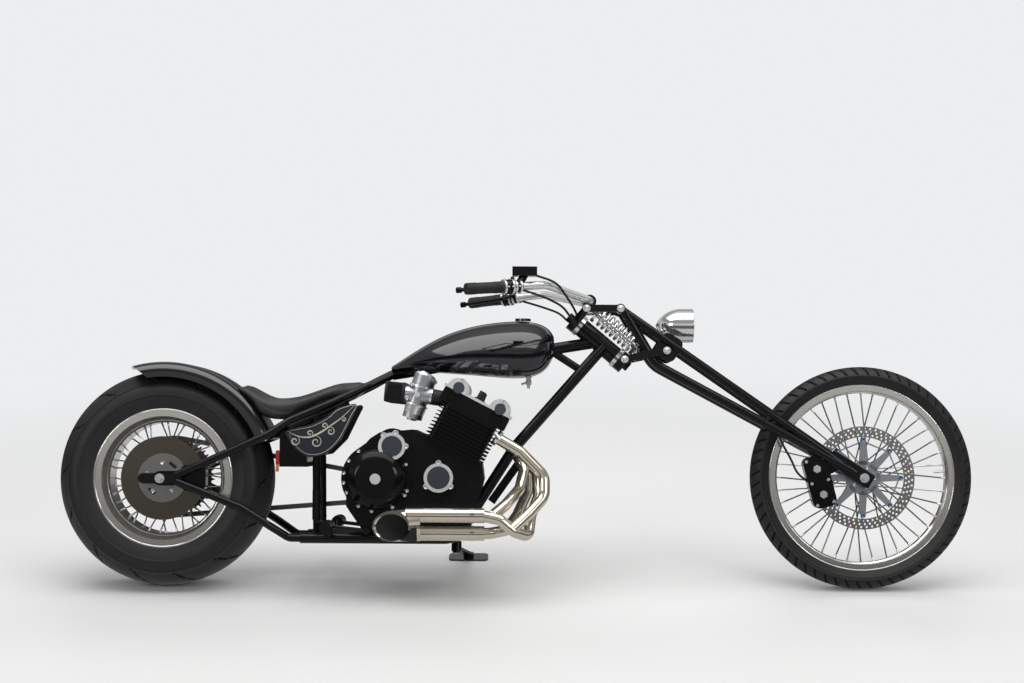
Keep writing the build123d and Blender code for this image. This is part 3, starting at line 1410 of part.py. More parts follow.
with BuildPart() as drive_chain:
    for face_y in (chain_y + chain_width / 2, chain_y - chain_width / 2 + chain_plate):
        with BuildSketch(side_plane(0, face_y, 0)):
            with Locations((rear_axle_x, rear_tyre_radius)):
                Circle(pitch_radius + chain_depth / 2)
            with Locations((output_x, output_z)):
                Circle(output_radius + chain_depth / 2)
            make_hull()
            with BuildSketch(mode=Mode.SUBTRACT):
                with Locations((rear_axle_x, rear_tyre_radius)):
                    Circle(pitch_radius - chain_depth / 2)
                with Locations((output_x, output_z)):
                    Circle(output_radius - chain_depth / 2)
                make_hull()
        extrude(amount=chain_plate)
    with BuildSketch(side_plane(0, chain_y + chain_width / 2 - chain_plate, 0)):
        with Locations(*pins):
            RegularPolygon(roller_radius, 6)
    extrude(amount=chain_width - 2 * chain_plate)
drive_chain.part.label = "drive_chain"

recess_y = chain_y - chain_width / 2 - case_clearance
with BuildPart() as output_sprocket:
    with BuildSketch(side_plane(output_x, chain_y + sprocket_thickness / 2, output_z)):
        Circle(output_radius - roller_radius - 1)
    extrude(amount=sprocket_thickness)
    add(rod((output_x, chain_y, output_z), (output_x, recess_y, output_z), output_shaft_diameter))
output_sprocket.part.label = "output_sprocket"

# Battery box, side panels, foot controls, lamp
with BuildPart() as battery_box:
    with Locations((battery_x, 0, battery_top_z - battery_height / 2)):
        Box(battery_length, battery_width, battery_height)
    add(frame_rear.part, mode=Mode.SUBTRACT)
battery_box.part.label = "battery_box"

# Columns: shares of the panel's length and height, from its rear lower corner
panel_shares = (
    (0.00, 0.45), (0.09, 0.52), (0.36, 0.60), (0.56, 0.74), (0.72, 0.92), (1.00, 1.00),
    (0.92, 0.78), (0.76, 0.33), (0.56, 0.06), (0.33, 0.00), (0.16, 0.14),
)
panel_outline = between((panel_rear_x, panel_low_z), (panel_rear_x + panel_length, panel_low_z + panel_height),
                        panel_shares)
with BuildPart() as side_panels:
    with BuildSketch(side_plane(0, -panel_y, 0)):
        with BuildLine():
            FilletPolyline(*panel_outline, close=True, radius=panel_corner)
        make_face()
    extrude(amount=panel_thickness)
    mirror(about=Plane.XZ)
    add(frame_rear.part, mode=Mode.SUBTRACT)
side_panels.part.label = "side_panels"

peg_start_y = rail_y + peg_boss_diameter
with BuildPart() as foot_controls:
    add(rod((peg_x, -peg_start_y, peg_z), (peg_x, -peg_end_y, peg_z), peg_diameter))
    for share in (0.25, 0.5, 0.75):
        ring_y = peg_start_y + (peg_end_y - peg_start_y) * share
        with BuildSketch(side_plane(peg_x, -ring_y, peg_z)):
            Circle(peg_diameter / 2 + 1)
            Circle(peg_diameter / 2 - 2, mode=Mode.SUBTRACT)
        extrude(amount=2)
    add(rod((peg_x, -peg_start_y, peg_z), (peg_x, -rail_y, rail_z), peg_boss_diameter))
    mirror(about=Plane.XZ)
    pump_low = Vector(peg_x - peg_diameter, -peg_start_y, peg_z + peg_diameter / 2)
    pump_high = pump_low + Vector(0, 0, pump_height)
    add(rod(pump_low, pump_high, pump_diameter))
    add(rod(pump_low, (peg_x, -peg_start_y, peg_z), lever_diameter))
    for side, knee_reach in ((-1, pedal_reach), (1, pedal_reach)):
        knee_place = Vector(peg_x + knee_reach, side * (peg_start_y + lever_diameter), peg_z - pedal_drop)
        add(rod((peg_x, side * (peg_start_y + lever_diameter), peg_z), knee_place, lever_diameter))
        add(rod(knee_place, knee_place + side_axis * side * pedal_width, pedal_diameter))
    add(frame_cradle.part, mode=Mode.SUBTRACT)
foot_controls.part.label = "foot_controls"

with BuildPart() as tail_lamp:
    with BuildSketch(side_plane(battery_x - battery_length / 2 - lamp_gap - tail_lamp_length / 2,
                                tail_lamp_depth - battery_width / 2, battery_top_z - 0.75 * battery_height)):
        RectangleRounded(tail_lamp_length, tail_lamp_height, tail_lamp_length / 3)
    extrude(amount=tail_lamp_depth)
tail_lamp.part.label = "tail_lamp"

# Parking: lean about the ground line, then pitch and lift so that both tyres touch the ground
lean = radians(lean_angle)
sink_share = 1 - cos(lean)
pitch = asin((rear_crown_radius - front_crown_radius) * sink_share / wheelbase)
lift = rear_crown_radius * sink_share + rear_axle_x * sin(pitch)
lean_place = (Location((0, 0, lift)) * Location((0, 0, 0), (0, degrees(pitch), 0))
              * Location((0, 0, 0), (-lean_angle, 0, 0)))

# Side stand
stand_pivot = Vector(stand_pivot_x, stand_pivot_y, stand_pivot_z)
ground_plane = Plane(lean_place.inverse() * Location((stand_foot_x, stand_foot_y, 0)))
foot_top = ground_plane.origin + ground_plane.z_dir * (pad_thickness + foot_height * 0.7)
leg_run = foot_top - stand_pivot
stand_axis = leg_run.cross(Vector(-1, 0, 0)).normalized()
stand_plane = Plane(origin=stand_pivot, x_dir=(1, 0, 0), z_dir=stand_axis)
with BuildPart() as side_stand:
    with BuildSketch(ground_plane):
        RectangleRounded(pad_length, pad_width, foot_radius)
    extrude(amount=pad_thickness)
    with BuildSketch(ground_plane.offset(pad_thickness)):
        Circle(foot_radius)
    extrude(amount=foot_height)
    add(rod(stand_pivot + leg_run.normalized() * (eye_radius - pin_head), foot_top, stand_leg_diameter))
    with BuildSketch(stand_plane.offset(-eye_thickness / 2)):
        Circle(eye_radius)
    extrude(amount=eye_thickness)
    with BuildSketch(stand_plane.offset(-eye_thickness)):
        Circle(stand_pin_diameter / 2 + running_gap)
    extrude(amount=2 * eye_thickness, mode=Mode.SUBTRACT)
side_stand.part.label = "side_stand"

with BuildPart() as stand_bracket:
    with BuildSketch(stand_plane.offset(eye_thickness / 2 + seat_gap)):
        Circle(eye_radius)
    extrude(amount=ear_thickness)
    with BuildSketch(stand_plane.offset(-eye_thickness / 2 - seat_gap - pin_head)):
        Circle(stand_pin_diameter / 2)
    extrude(amount=eye_thickness + 2 * pin_head)
    with BuildSketch(stand_plane.offset(-eye_thickness / 2 - seat_gap)):
        Circle(stand_pin_diameter)
    extrude(amount=-pin_head)
    ear_top = stand_pivot + stand_axis * (eye_thickness / 2 + ear_thickness)
    add(rod(ear_top, (ear_top.X, rail_y, rail_z), ear_arm_diameter))
    add(frame_cradle.part, mode=Mode.SUBTRACT)
stand_bracket.part.label = "stand_bracket"

pieces = (
    rear_tyre, rear_rim, rear_hub, rear_disc, rear_sprocket, front_tyre, front_rim, front_hub, front_disc,
    frame_front, head_cups, frame_cradle, frame_rear, rear_axle_pin, crankcase, cylinder_block,
    cylinder_head, cam_cover, clutch_cover, round_covers, carburettors, air_filters, exhaust, oil_cooler,
    fuel_tank, fuel_cap, seat, rear_fender, steering_yokes, fork_links, girder_legs, front_axle_pin,
    handlebar, grips, right_controls, left_controls, headlamp, headlamp_lens, fork_spring, front_caliper,
    control_cables, rear_caliper, drive_chain, output_sprocket, battery_box, side_panels, foot_controls, tail_lamp,
    side_stand, stand_bracket,
)

whole = Compound(children=[piece.part.moved(lean_place) for piece in pieces]).bounding_box()
park = Location((-(whole.min.X + whole.max.X) / 2, -(whole.min.Y + whole.max.Y) / 2, 0)) * lean_place
print("whole", whole)
# Printed for the record: where each joint turns, and where a stranger's part fits
for kind, name, place, axis in (
    ("joint", "steering", head_start, head_up),
    ("joint", "front_wheel", front_axle, side_axis),
    ("joint", "rear_wheel", rear_axle, side_axis),
    ("joint", "side_stand", stand_pivot, stand_axis),
    ("mount", "front_axle_end", front_axle - side_axis * (front_axle_half - axle_stub / 2), -side_axis),
    ("mount", "rear_axle_end", rear_axle - side_axis * (rear_axle_half - axle_stub / 2), -side_axis),
):
    tip = (park * Location(tuple(place + axis))).position
    start = (park * Location(tuple(place))).position
    print(kind, name, "pos", tuple(start), "axis", tuple(tip - start))

os.makedirs("parts", exist_ok=True)
for piece in pieces:
    export_step(piece.part.moved(park), f"parts/{piece.part.label}.step")
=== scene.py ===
"""Dresses the long-fork chopper motorcycle around its fixed CAD frame.

Sizes are metres in the bike's own upright frame: X forward, Y to the rider's left and
Z up, with the origin under the middle of the wheelbase.  ``BikeFrame`` carries a mesh
from there to the parked frame, where the motorcycle leans on its side stand.
"""

import json
import logging
import math
from collections.abc import Callable, Iterable
from dataclasses import dataclass
from enum import Enum

import bmesh
import bpy
from mathutils import Matrix, Vector

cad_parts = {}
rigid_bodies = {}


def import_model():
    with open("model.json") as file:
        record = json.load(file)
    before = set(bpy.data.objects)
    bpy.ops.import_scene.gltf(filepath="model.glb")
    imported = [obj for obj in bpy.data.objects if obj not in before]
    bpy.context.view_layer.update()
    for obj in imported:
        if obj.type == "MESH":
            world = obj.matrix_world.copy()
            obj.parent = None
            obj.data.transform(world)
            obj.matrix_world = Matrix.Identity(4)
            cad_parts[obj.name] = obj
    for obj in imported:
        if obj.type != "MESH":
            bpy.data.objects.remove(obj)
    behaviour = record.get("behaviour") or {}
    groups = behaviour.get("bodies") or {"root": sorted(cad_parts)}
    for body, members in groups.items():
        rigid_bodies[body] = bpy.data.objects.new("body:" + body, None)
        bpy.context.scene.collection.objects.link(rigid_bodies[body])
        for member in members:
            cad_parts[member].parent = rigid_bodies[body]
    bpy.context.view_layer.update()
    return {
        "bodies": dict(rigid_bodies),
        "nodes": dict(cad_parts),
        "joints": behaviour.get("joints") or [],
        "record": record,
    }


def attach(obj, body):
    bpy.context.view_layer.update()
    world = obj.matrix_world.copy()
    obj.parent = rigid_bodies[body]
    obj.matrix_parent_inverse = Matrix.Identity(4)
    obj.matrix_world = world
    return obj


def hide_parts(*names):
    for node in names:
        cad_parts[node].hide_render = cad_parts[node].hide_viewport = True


LOG = logging.getLogger("chopper")
FULL_TURN = 2 * math.pi
FRONT_AXLE = (1.076, 0.0, 0.342)
REAR_AXLE = (-1.062, 0.0, 0.330)
SIDE = (0.0, 1.0, 0.0)
RIGHT = (0.0, -1.0, 0.0)
CYLINDERS = (-0.150, -0.050, 0.050, 0.150)
GRIP_END = (-0.136, 0.330, 0.896)
BAR_ELBOW = (0.100, 0.215, 0.917)
BOLT_SIDES = 14
WELD = 1e-5
RELIEF_DEPTH = 0.0006

Place = tuple[float, float, float]


class Body(str, Enum):
    """The bodies that pieces ride on."""

    FRAME = "frame"
    STEERING = "steering"
    FRONT_WHEEL = "front_wheel"
    REAR_WHEEL = "rear_wheel"


class Surface(str, Enum):
    """The kinds of fine relief that a finish can have."""

    SMOOTH = "smooth"
    ORANGE_PEEL = "orange peel"
    CAST = "cast"
    TURNED = "turned"
    RUBBER = "rubber"
    LEATHER = "leather"


@dataclass(frozen=True)
class Finish:
    """One finish: its two colours, its shine and its fine relief."""

    name: str
    colour: tuple[float, float, float]
    shade: tuple[float, float, float]
    metallic: float = 0.0
    roughness: float = 0.4
    spread: float = 0.08
    coat: float = 0.0
    surface: Surface = Surface.SMOOTH
    relief: float = 0.0
    scale: float = 60.0
    soil: float = 0.0
    clear: float = 0.0
    sheen: float = 0.5


TYRE = Finish("tyre_rubber", (0.011, 0.011, 0.0115), (0.016, 0.016, 0.016), roughness=0.52, spread=0.10,
              surface=Surface.RUBBER, relief=0.12, scale=300.0, soil=0.02, sheen=0.34)
# Darker and duller than the tyre's rubber, for the tread's cut faces: painted shade in the grooves.
GROOVE_SHADE = Finish("tread_groove_painted_shade", (0.003, 0.003, 0.003), (0.005, 0.005, 0.005), roughness=0.9, sheen=0.1)
RUBBER = Finish("grip_rubber", (0.010, 0.010, 0.0105), (0.016, 0.016, 0.016), roughness=0.50,
                surface=Surface.RUBBER, relief=0.2, scale=420.0, sheen=0.35)
RIM = Finish("polished_rim", (0.70, 0.675, 0.63), (0.60, 0.575, 0.53), metallic=0.84, roughness=0.09, spread=0.04)
WHEEL_STEEL = Finish("spoke_steel", (0.42, 0.41, 0.40), (0.30, 0.29, 0.28), metallic=1.0, roughness=0.22)
DISC = Finish("disc_steel", (0.40, 0.39, 0.38), (0.28, 0.27, 0.27), metallic=1.0, roughness=0.28,
              surface=Surface.TURNED, relief=0.05, scale=700.0)
BRONZE_DISC = Finish("bronze_disc", (0.16, 0.145, 0.12), (0.10, 0.088, 0.070), metallic=1.0, roughness=0.30,
                     spread=0.06, surface=Surface.TURNED, relief=0.04, scale=300.0)
CARRIER = Finish("carrier_alloy", (0.40, 0.43, 0.47), (0.33, 0.36, 0.40), metallic=0.9, roughness=0.32)
BLUE = Finish("blue_bolt", (0.11, 0.22, 0.38), (0.08, 0.16, 0.30), metallic=0.9, roughness=0.25)
FRAME_PAINT = Finish("frame_black", (0.004, 0.004, 0.0045), (0.006, 0.006, 0.0065), roughness=0.20, coat=0.1,
                     surface=Surface.ORANGE_PEEL, relief=0.04, scale=180.0, sheen=0.22)
BODY_PAINT = Finish("body_black", (0.003, 0.0035, 0.005), (0.005, 0.0055, 0.008), roughness=0.10, coat=0.6,
                    surface=Surface.ORANGE_PEEL, relief=0.015, scale=120.0, sheen=0.5)
ENGINE_BLACK = Finish("engine_black", (0.004, 0.004, 0.0045), (0.008, 0.008, 0.009), roughness=0.28,
                      surface=Surface.CAST, relief=0.20, scale=520.0, soil=0.01, sheen=0.14)
COVER_BLACK = Finish("cover_black", (0.003, 0.003, 0.0035), (0.005, 0.005, 0.0055), roughness=0.13, coat=0.1,
                     surface=Surface.ORANGE_PEEL, relief=0.03, scale=240.0, sheen=0.14)
POLISHED = Finish("polished_alloy", (0.88, 0.88, 0.88), (0.76, 0.77, 0.79), metallic=0.66, roughness=0.14,
                  surface=Surface.CAST, relief=0.03, scale=260.0)
CAST_ALLOY = Finish("cast_alloy", (0.52, 0.53, 0.55), (0.38, 0.39, 0.42), metallic=0.85, roughness=0.38,
                    surface=Surface.CAST, relief=0.30, scale=620.0, soil=0.15)
COVER_GLASS = Finish("cover_disc", (0.13, 0.15, 0.18), (0.09, 0.10, 0.12), metallic=0.9, roughness=0.16)
CHROME = Finish("chrome", (0.88, 0.88, 0.88), (0.82, 0.82, 0.83), metallic=0.9, roughness=0.05)
EXHAUST = Finish("warm_steel", (0.84, 0.79, 0.69), (0.66, 0.58, 0.45), metallic=0.86, roughness=0.07, spread=0.05,
                 scale=9.0)
# Near-black: sooty metal in the exhaust's mouth and on the band bolts, and painted shade at the mouth's closed end
# and in the rear disc carrier's slots.
SOOT_AND_SHADE = Finish("soot_and_shade", (0.008, 0.008, 0.008), (0.015, 0.014, 0.013), roughness=0.9)
LEATHER = Finish("seat_leather", (0.012, 0.012, 0.0125), (0.018, 0.018, 0.018), roughness=0.38, spread=0.10,
                 surface=Surface.LEATHER, relief=0.35, scale=520.0)
PLEATS = Finish("filter_pleats", (0.008, 0.008, 0.008), (0.016, 0.016, 0.016), roughness=0.7, sheen=0.3,
                surface=Surface.RUBBER, relief=0.3, scale=500.0)
PANEL = Finish("panel_blue_black", (0.003, 0.005, 0.009), (0.010, 0.015, 0.024), roughness=0.26, coat=0.4,
               surface=Surface.LEATHER, relief=0.45, scale=110.0)
SCROLL = Finish("scroll_cream", (0.62, 0.58, 0.49), (0.46, 0.43, 0.36), metallic=0.3, roughness=0.35)
CHAIN = Finish("chain_steel", (0.20, 0.19, 0.18), (0.10, 0.09, 0.08), metallic=0.9, roughness=0.38, soil=0.3)
LENS = Finish("lamp_glass", (0.96, 0.97, 0.98), (0.90, 0.92, 0.94), roughness=0.03, clear=0.95)
RED_LENS = Finish("red_lens", (0.45, 0.015, 0.012), (0.30, 0.010, 0.008), roughness=0.12, coat=0.6)
AMBER = Finish("amber_lens", (0.60, 0.22, 0.02), (0.45, 0.15, 0.01), roughness=0.12, coat=0.6)
FLOOR = Finish("studio_floor", (0.80, 0.80, 0.795), (0.78, 0.78, 0.775), roughness=0.45)

NODE_FINISH = {
    "front_rim": RIM, "rear_rim": RIM, "front_hub": WHEEL_STEEL, "rear_hub": WHEEL_STEEL,
    "rear_disc": BRONZE_DISC, "control_cables": RUBBER, "front_disc": DISC,
    "rear_sprocket": CHAIN, "output_sprocket": CHAIN, "drive_chain": CHAIN,
    "frame_front": FRAME_PAINT, "frame_cradle": FRAME_PAINT, "frame_rear": FRAME_PAINT,
    "stand_bracket": FRAME_PAINT, "side_stand": FRAME_PAINT, "steering_yokes": FRAME_PAINT,
    "fork_links": FRAME_PAINT, "girder_legs": FRAME_PAINT, "foot_controls": FRAME_PAINT,
    "head_cups": CHROME, "front_axle": CHROME, "rear_axle": CHROME, "fork_spring": CHROME,
    "headlamp": CHROME, "headlamp_lens": LENS, "handlebar": POLISHED, "grips": RUBBER,
    "crankcase": ENGINE_BLACK, "cylinder_block": ENGINE_BLACK, "cylinder_head": ENGINE_BLACK,
    "clutch_cover": COVER_BLACK, "cam_cover": POLISHED, "round_covers": POLISHED, "oil_cooler": ENGINE_BLACK,
    "carburettors": CAST_ALLOY, "air_filters": PLEATS, "exhaust": EXHAUST, "fuel_tank": BODY_PAINT,
    "fuel_cap": BODY_PAINT, "rear_fender": BODY_PAINT, "seat": LEATHER, "right_controls": COVER_BLACK,
    "left_controls": COVER_BLACK, "front_caliper": COVER_BLACK, "rear_caliper": COVER_BLACK,
    "battery_box": COVER_BLACK, "side_panels": PANEL, "tail_lamp": RED_LENS, "front_tyre": TYRE, "rear_tyre": TYRE,
}


class BikeFrame:
    """The bike's upright frame and its place in the parked frame."""

    def __init__(self, joints: list[dict]) -> None:
        """Work out the parked place from both wheel joints.

        Args:
            joints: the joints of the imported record.
        """
        wheels = {joint["child"]: joint for joint in joints}
        front = Vector(wheels[Body.FRONT_WHEEL.value]["pos_m"])
        rear = Vector(wheels[Body.REAR_WHEEL.value]["pos_m"])
        side = Vector(wheels[Body.REAR_WHEEL.value]["axis"]).normalized()
        along = (front - rear).normalized()
        square = along.cross(side)
        slope = math.atan2(FRONT_AXLE[2] - REAR_AXLE[2], FRONT_AXLE[0] - REAR_AXLE[0])
        ahead = along * math.cos(slope) - square * math.sin(slope)
        up = along * math.sin(slope) + square * math.cos(slope)
        turn = Matrix((ahead, side, up)).transposed()
        self.place = Matrix.Translation(rear - turn @ Vector(REAR_AXLE)) @ turn.to_4x4()


def add_node(nodes: bpy.types.Nodes, kind: str, inputs: dict | None = None, **settings: object) -> bpy.types.Node:
    """Add a shader node.

    Args:
        nodes: the tree's nodes.
        kind: the node's kind, without the words that every shader node's kind starts with.
        inputs: values for its sockets, by name or number.
        settings: the node's own settings.

    Returns:
        The node.
    """
    node = nodes.new("ShaderNode" + kind)
    for label, value in settings.items():
        setattr(node, label, value)
    for label, value in (inputs or {}).items():
        node.inputs[label].default_value = value
    return node


def wire(tree: bpy.types.NodeTree, *runs: tuple) -> None:
    """Join sockets, each run given as a node, its output, another node and its input."""
    for source, output, sink, entry in runs:
        tree.links.new(source.outputs[output], sink.inputs[entry])


def only(items: Iterable, kind: type) -> list:
    """Give those items of a bmesh operator's result that are of one kind."""
    return [item for item in items if isinstance(item, kind)]


def closed_loop(mesh: bmesh.types.BMesh, verts: list[bmesh.types.BMVert]) -> list[bmesh.types.BMEdge]:
    """Join points into a closed loop of edges."""
    return [mesh.edges.new((verts[index], verts[(index + 1) % len(verts)])) for index in range(len(verts))]


def spin_outline(mesh: bmesh.types.BMesh, points: Iterable[Vector], centre: Iterable[float],
                 axis: Place, steps: int) -> None:
    """Turn a closed outline once round an axis.

    Args:
        mesh: the bmesh that receives the ring.
        points: the outline's points.
        centre: a point of the axis.
        axis: the axis's direction.
        steps: the number of steps in the turn.
    """
    verts = [mesh.verts.new(point) for point in points]
    bmesh.ops.spin(mesh, geom=verts + closed_loop(mesh, verts), cent=centre, axis=axis, angle=FULL_TURN,
                   steps=steps, use_merge=True)


def circle(count: int) -> list[float]:
    """Give evenly spread angles round a full turn."""
    return [FULL_TURN * step / count for step in range(count)]


def paint_new(made: dict, material: int) -> None:
    """Give the faces that an operator just made their material number."""
    for face in {face for vert in made["verts"] for face in vert.link_faces}:
        face.material_index = material


def loose_object(name: str, mesh: bmesh.types.BMesh) -> bpy.types.Object:
    """Make a bmesh into an object of the scene. The bmesh is freed."""
    data = bpy.data.meshes.new(name)
    mesh.to_mesh(data)
    mesh.free()
    thing = bpy.data.objects.new(name, data)
    bpy.context.scene.collection.objects.link(thing)
    return thing


def evaluated(thing: bpy.types.Object) -> bpy.types.Mesh:
    """Give an object's mesh as its modifiers leave it."""
    bpy.context.view_layer.update()
    return bpy.data.meshes.new_from_object(thing.evaluated_get(bpy.context.evaluated_depsgraph_get()))


class ReliefGroups:
    """The shader node groups that the finishes share, each built once."""

    def __init__(self) -> None:
        """Start with no group built."""
        self.built: dict[str, bpy.types.NodeTree] = {}

    def give(self, name: str) -> bpy.types.NodeTree:
        """Give a group by its name, built on its first use."""
        if name not in self.built:
            makers = {"tone": self.tone, "grain": self.grain, "hide": self.hide, "turned": self.turned}
            self.built[name] = makers[name]()
        return self.built[name]

    def new(self, name: str, inputs: dict[str, tuple[str, float]], outputs: dict[str, str]) -> bpy.types.NodeTree:
        """Start a group with named sockets.

        Args:
            name: the group's name.
            inputs: socket names with their kind and starting value.
            outputs: socket names with their kind.

        Returns:
            The group, with its input and output nodes in it.
        """
        group = bpy.data.node_groups.new(name, "ShaderNodeTree")
        for label, (kind, value) in inputs.items():
            socket = group.interface.new_socket(label, in_out="INPUT", socket_type=kind)
            if kind == "NodeSocketFloat":
                socket.default_value = value
        for label, kind in outputs.items():
            group.interface.new_socket(label, in_out="OUTPUT", socket_type=kind)
        group.nodes.new("NodeGroupInput").name = "inputs"
        group.nodes.new("NodeGroupOutput").name = "outputs"
        return group

    def relief(self, name: str, scale: float) -> bpy.types.NodeTree:
        """Start a group that turns a place and a scale into a height."""
        return self.new(name, {"Vector": ("NodeSocketVector", 0.0), "Scale": ("NodeSocketFloat", scale)},
                        {"Height": "NodeSocketFloat"})

    def tone(self) -> bpy.types.NodeTree:
        """Make the group that drifts between two colours and masks light soil."""
        group = self.new(
            "tone",
            {"Vector": ("NodeSocketVector", 0.0), "Colour": ("NodeSocketColor", 0.0),
             "Shade": ("NodeSocketColor", 0.0), "Scale": ("NodeSocketFloat", 8.0), "Soil": ("NodeSocketFloat", 0.0)},
            {"Colour": "NodeSocketColor", "Mask": "NodeSocketFloat"},
        )
        nodes = group.nodes
        drift = add_node(nodes, "TexNoise", {"Detail": 5.0, "Roughness": 0.62})
        blend = add_node(nodes, "Mix", data_type="RGBA")
        dust = add_node(nodes, "TexNoise", {"Scale": 34.0, "Detail": 8.0})
        gate = add_node(nodes, "MapRange", {"From Min": 0.48, "From Max": 0.75})
        weigh = add_node(nodes, "Math", operation="MULTIPLY")
        dusty = add_node(nodes, "Mix", {"B": (0.20, 0.185, 0.165, 1.0)}, data_type="RGBA")
        source, sink = nodes["inputs"], nodes["outputs"]
        wire(group, (source, "Vector", drift, "Vector"), (source, "Scale", drift, "Scale"),
             (source, "Vector", dust, "Vector"), (drift, "Fac", blend, "Factor"), (source, "Colour", blend, "A"),
             (source, "Shade", blend, "B"), (dust, "Fac", gate, "Value"), (gate, "Result", weigh, 0),
             (source, "Soil", weigh, 1), (weigh, "Value", dusty, "Factor"), (blend, "Result", dusty, "A"),
             (dusty, "Result", sink, "Colour"), (drift, "Fac", sink, "Mask"))
        return group

    def grain(self) -> bpy.types.NodeTree:
        """Make the group that raises a fine even grain."""
        group = self.relief("grain", 300.0)
        fine = add_node(group.nodes, "TexNoise", {"Detail": 3.0})
        source = group.nodes["inputs"]
        wire(group, (source, "Vector", fine, "Vector"), (source, "Scale", fine, "Scale"),
             (fine, "Fac", group.nodes["outputs"], "Height"))
        return group

    def hide(self) -> bpy.types.NodeTree:
        """Make the group that raises the pebbles of leather."""
        group = self.relief("hide", 500.0)
        cells = add_node(group.nodes, "TexVoronoi", feature="DISTANCE_TO_EDGE")
        gate = add_node(group.nodes, "MapRange", {"From Max": 0.25})
        source = group.nodes["inputs"]
        wire(group, (source, "Vector", cells, "Vector"), (source, "Scale", cells, "Scale"),
             (cells, "Distance", gate, "Value"), (gate, "Result", group.nodes["outputs"], "Height"))
        return group

    def turned(self) -> bpy.types.NodeTree:
        """Make the group that draws the fine rings of a turned face about the Y axis."""
        group = self.relief("turned", 700.0)
        nodes = group.nodes
        flat = add_node(nodes, "VectorMath", {1: (1.0, 0.0, 1.0)}, operation="MULTIPLY")
        reach = add_node(nodes, "VectorMath", operation="LENGTH")
        ring = add_node(nodes, "Math", operation="MULTIPLY")
        noise = add_node(nodes, "TexNoise", {"Detail": 2.0, "Scale": 1.0}, noise_dimensions="1D")
        wire(group, (nodes["inputs"], "Vector", flat, 0), (flat, "Vector", reach, 0), (reach, "Value", ring, 0),
             (nodes["inputs"], "Scale", ring, 1), (ring, "Value", noise, "W"),
             (noise, "Fac", nodes["outputs"], "Height"))
        return group


class FinishShop:
    """Makes each finish into a material, once for each centre it is turned about."""

    reliefs = {Surface.ORANGE_PEEL: "grain", Surface.CAST: "grain", Surface.RUBBER: "grain", Surface.LEATHER: "hide",
               Surface.TURNED: "turned"}

    def __init__(self, bike: BikeFrame) -> None:
        """Keep the bike's place, so that patterns stand square to the bike."""
        self.bike = bike
        self.groups = ReliefGroups()
        self.made: dict[tuple[str, tuple[float, ...]], bpy.types.Material] = {}

    def material(self, finish: Finish, centre: Place = (0.0, 0.0, 0.0)) -> bpy.types.Material:
        """Give the finish as a material.

        Args:
            finish: the finish to make.
            centre: the point, in the upright frame, that its pattern is centred on.

        Returns:
            The material, made on the first call.
        """
        key = (finish.name, tuple(centre))
        if key not in self.made:
            self.made[key] = self.mixed(finish, centre)
        return self.made[key]

    def mixed(self, finish: Finish, centre: Place) -> bpy.types.Material:
        """Make a finish's material anew."""
        material = bpy.data.materials.new(finish.name)
        material.use_nodes = True
        tree = material.node_tree
        shader = tree.nodes["Principled BSDF"]
        back = self.bike.place.inverted()
        where = add_node(tree.nodes, "TexCoord")
        upright = add_node(tree.nodes, "Mapping", {"Rotation": back.to_euler("XYZ"),
                                                   "Location": back.translation - Vector(centre)})
        tone = add_node(tree.nodes, "Group", {
            "Colour": (*finish.colour, 1.0), "Shade": (*finish.shade, 1.0),
            "Scale": min(finish.scale / 12.0, 24.0), "Soil": finish.soil}, node_tree=self.groups.give("tone"))
        shine = add_node(tree.nodes, "MapRange", {
            "From Min": 0.3, "From Max": 0.7, "To Min": max(0.02, finish.roughness - finish.spread / 2),
            "To Max": finish.roughness + finish.spread / 2})
        wire(tree, (where, "Object", upright, "Vector"), (upright, "Vector", tone, "Vector"),
             (tone, "Colour", shader, "Base Color"), (tone, "Mask", shine, "Value"),
             (shine, "Result", shader, "Roughness"))
        for label, value in (("Metallic", finish.metallic), ("Coat Weight", finish.coat), ("Coat Roughness", 0.04),
                             ("Transmission Weight", finish.clear), ("Specular IOR Level", finish.sheen)):
            shader.inputs[label].default_value = value
        if finish.surface in self.reliefs:
            pattern = add_node(tree.nodes, "Group", {"Scale": finish.scale},
                               node_tree=self.groups.give(self.reliefs[finish.surface]))
            bump = add_node(tree.nodes, "Bump", {"Strength": finish.relief, "Distance": RELIEF_DEPTH})
            wire(tree, (upright, "Vector", pattern, "Vector"), (pattern, "Height", bump, "Height"),
                 (bump, "Normal", shader, "Normal"))
        return material


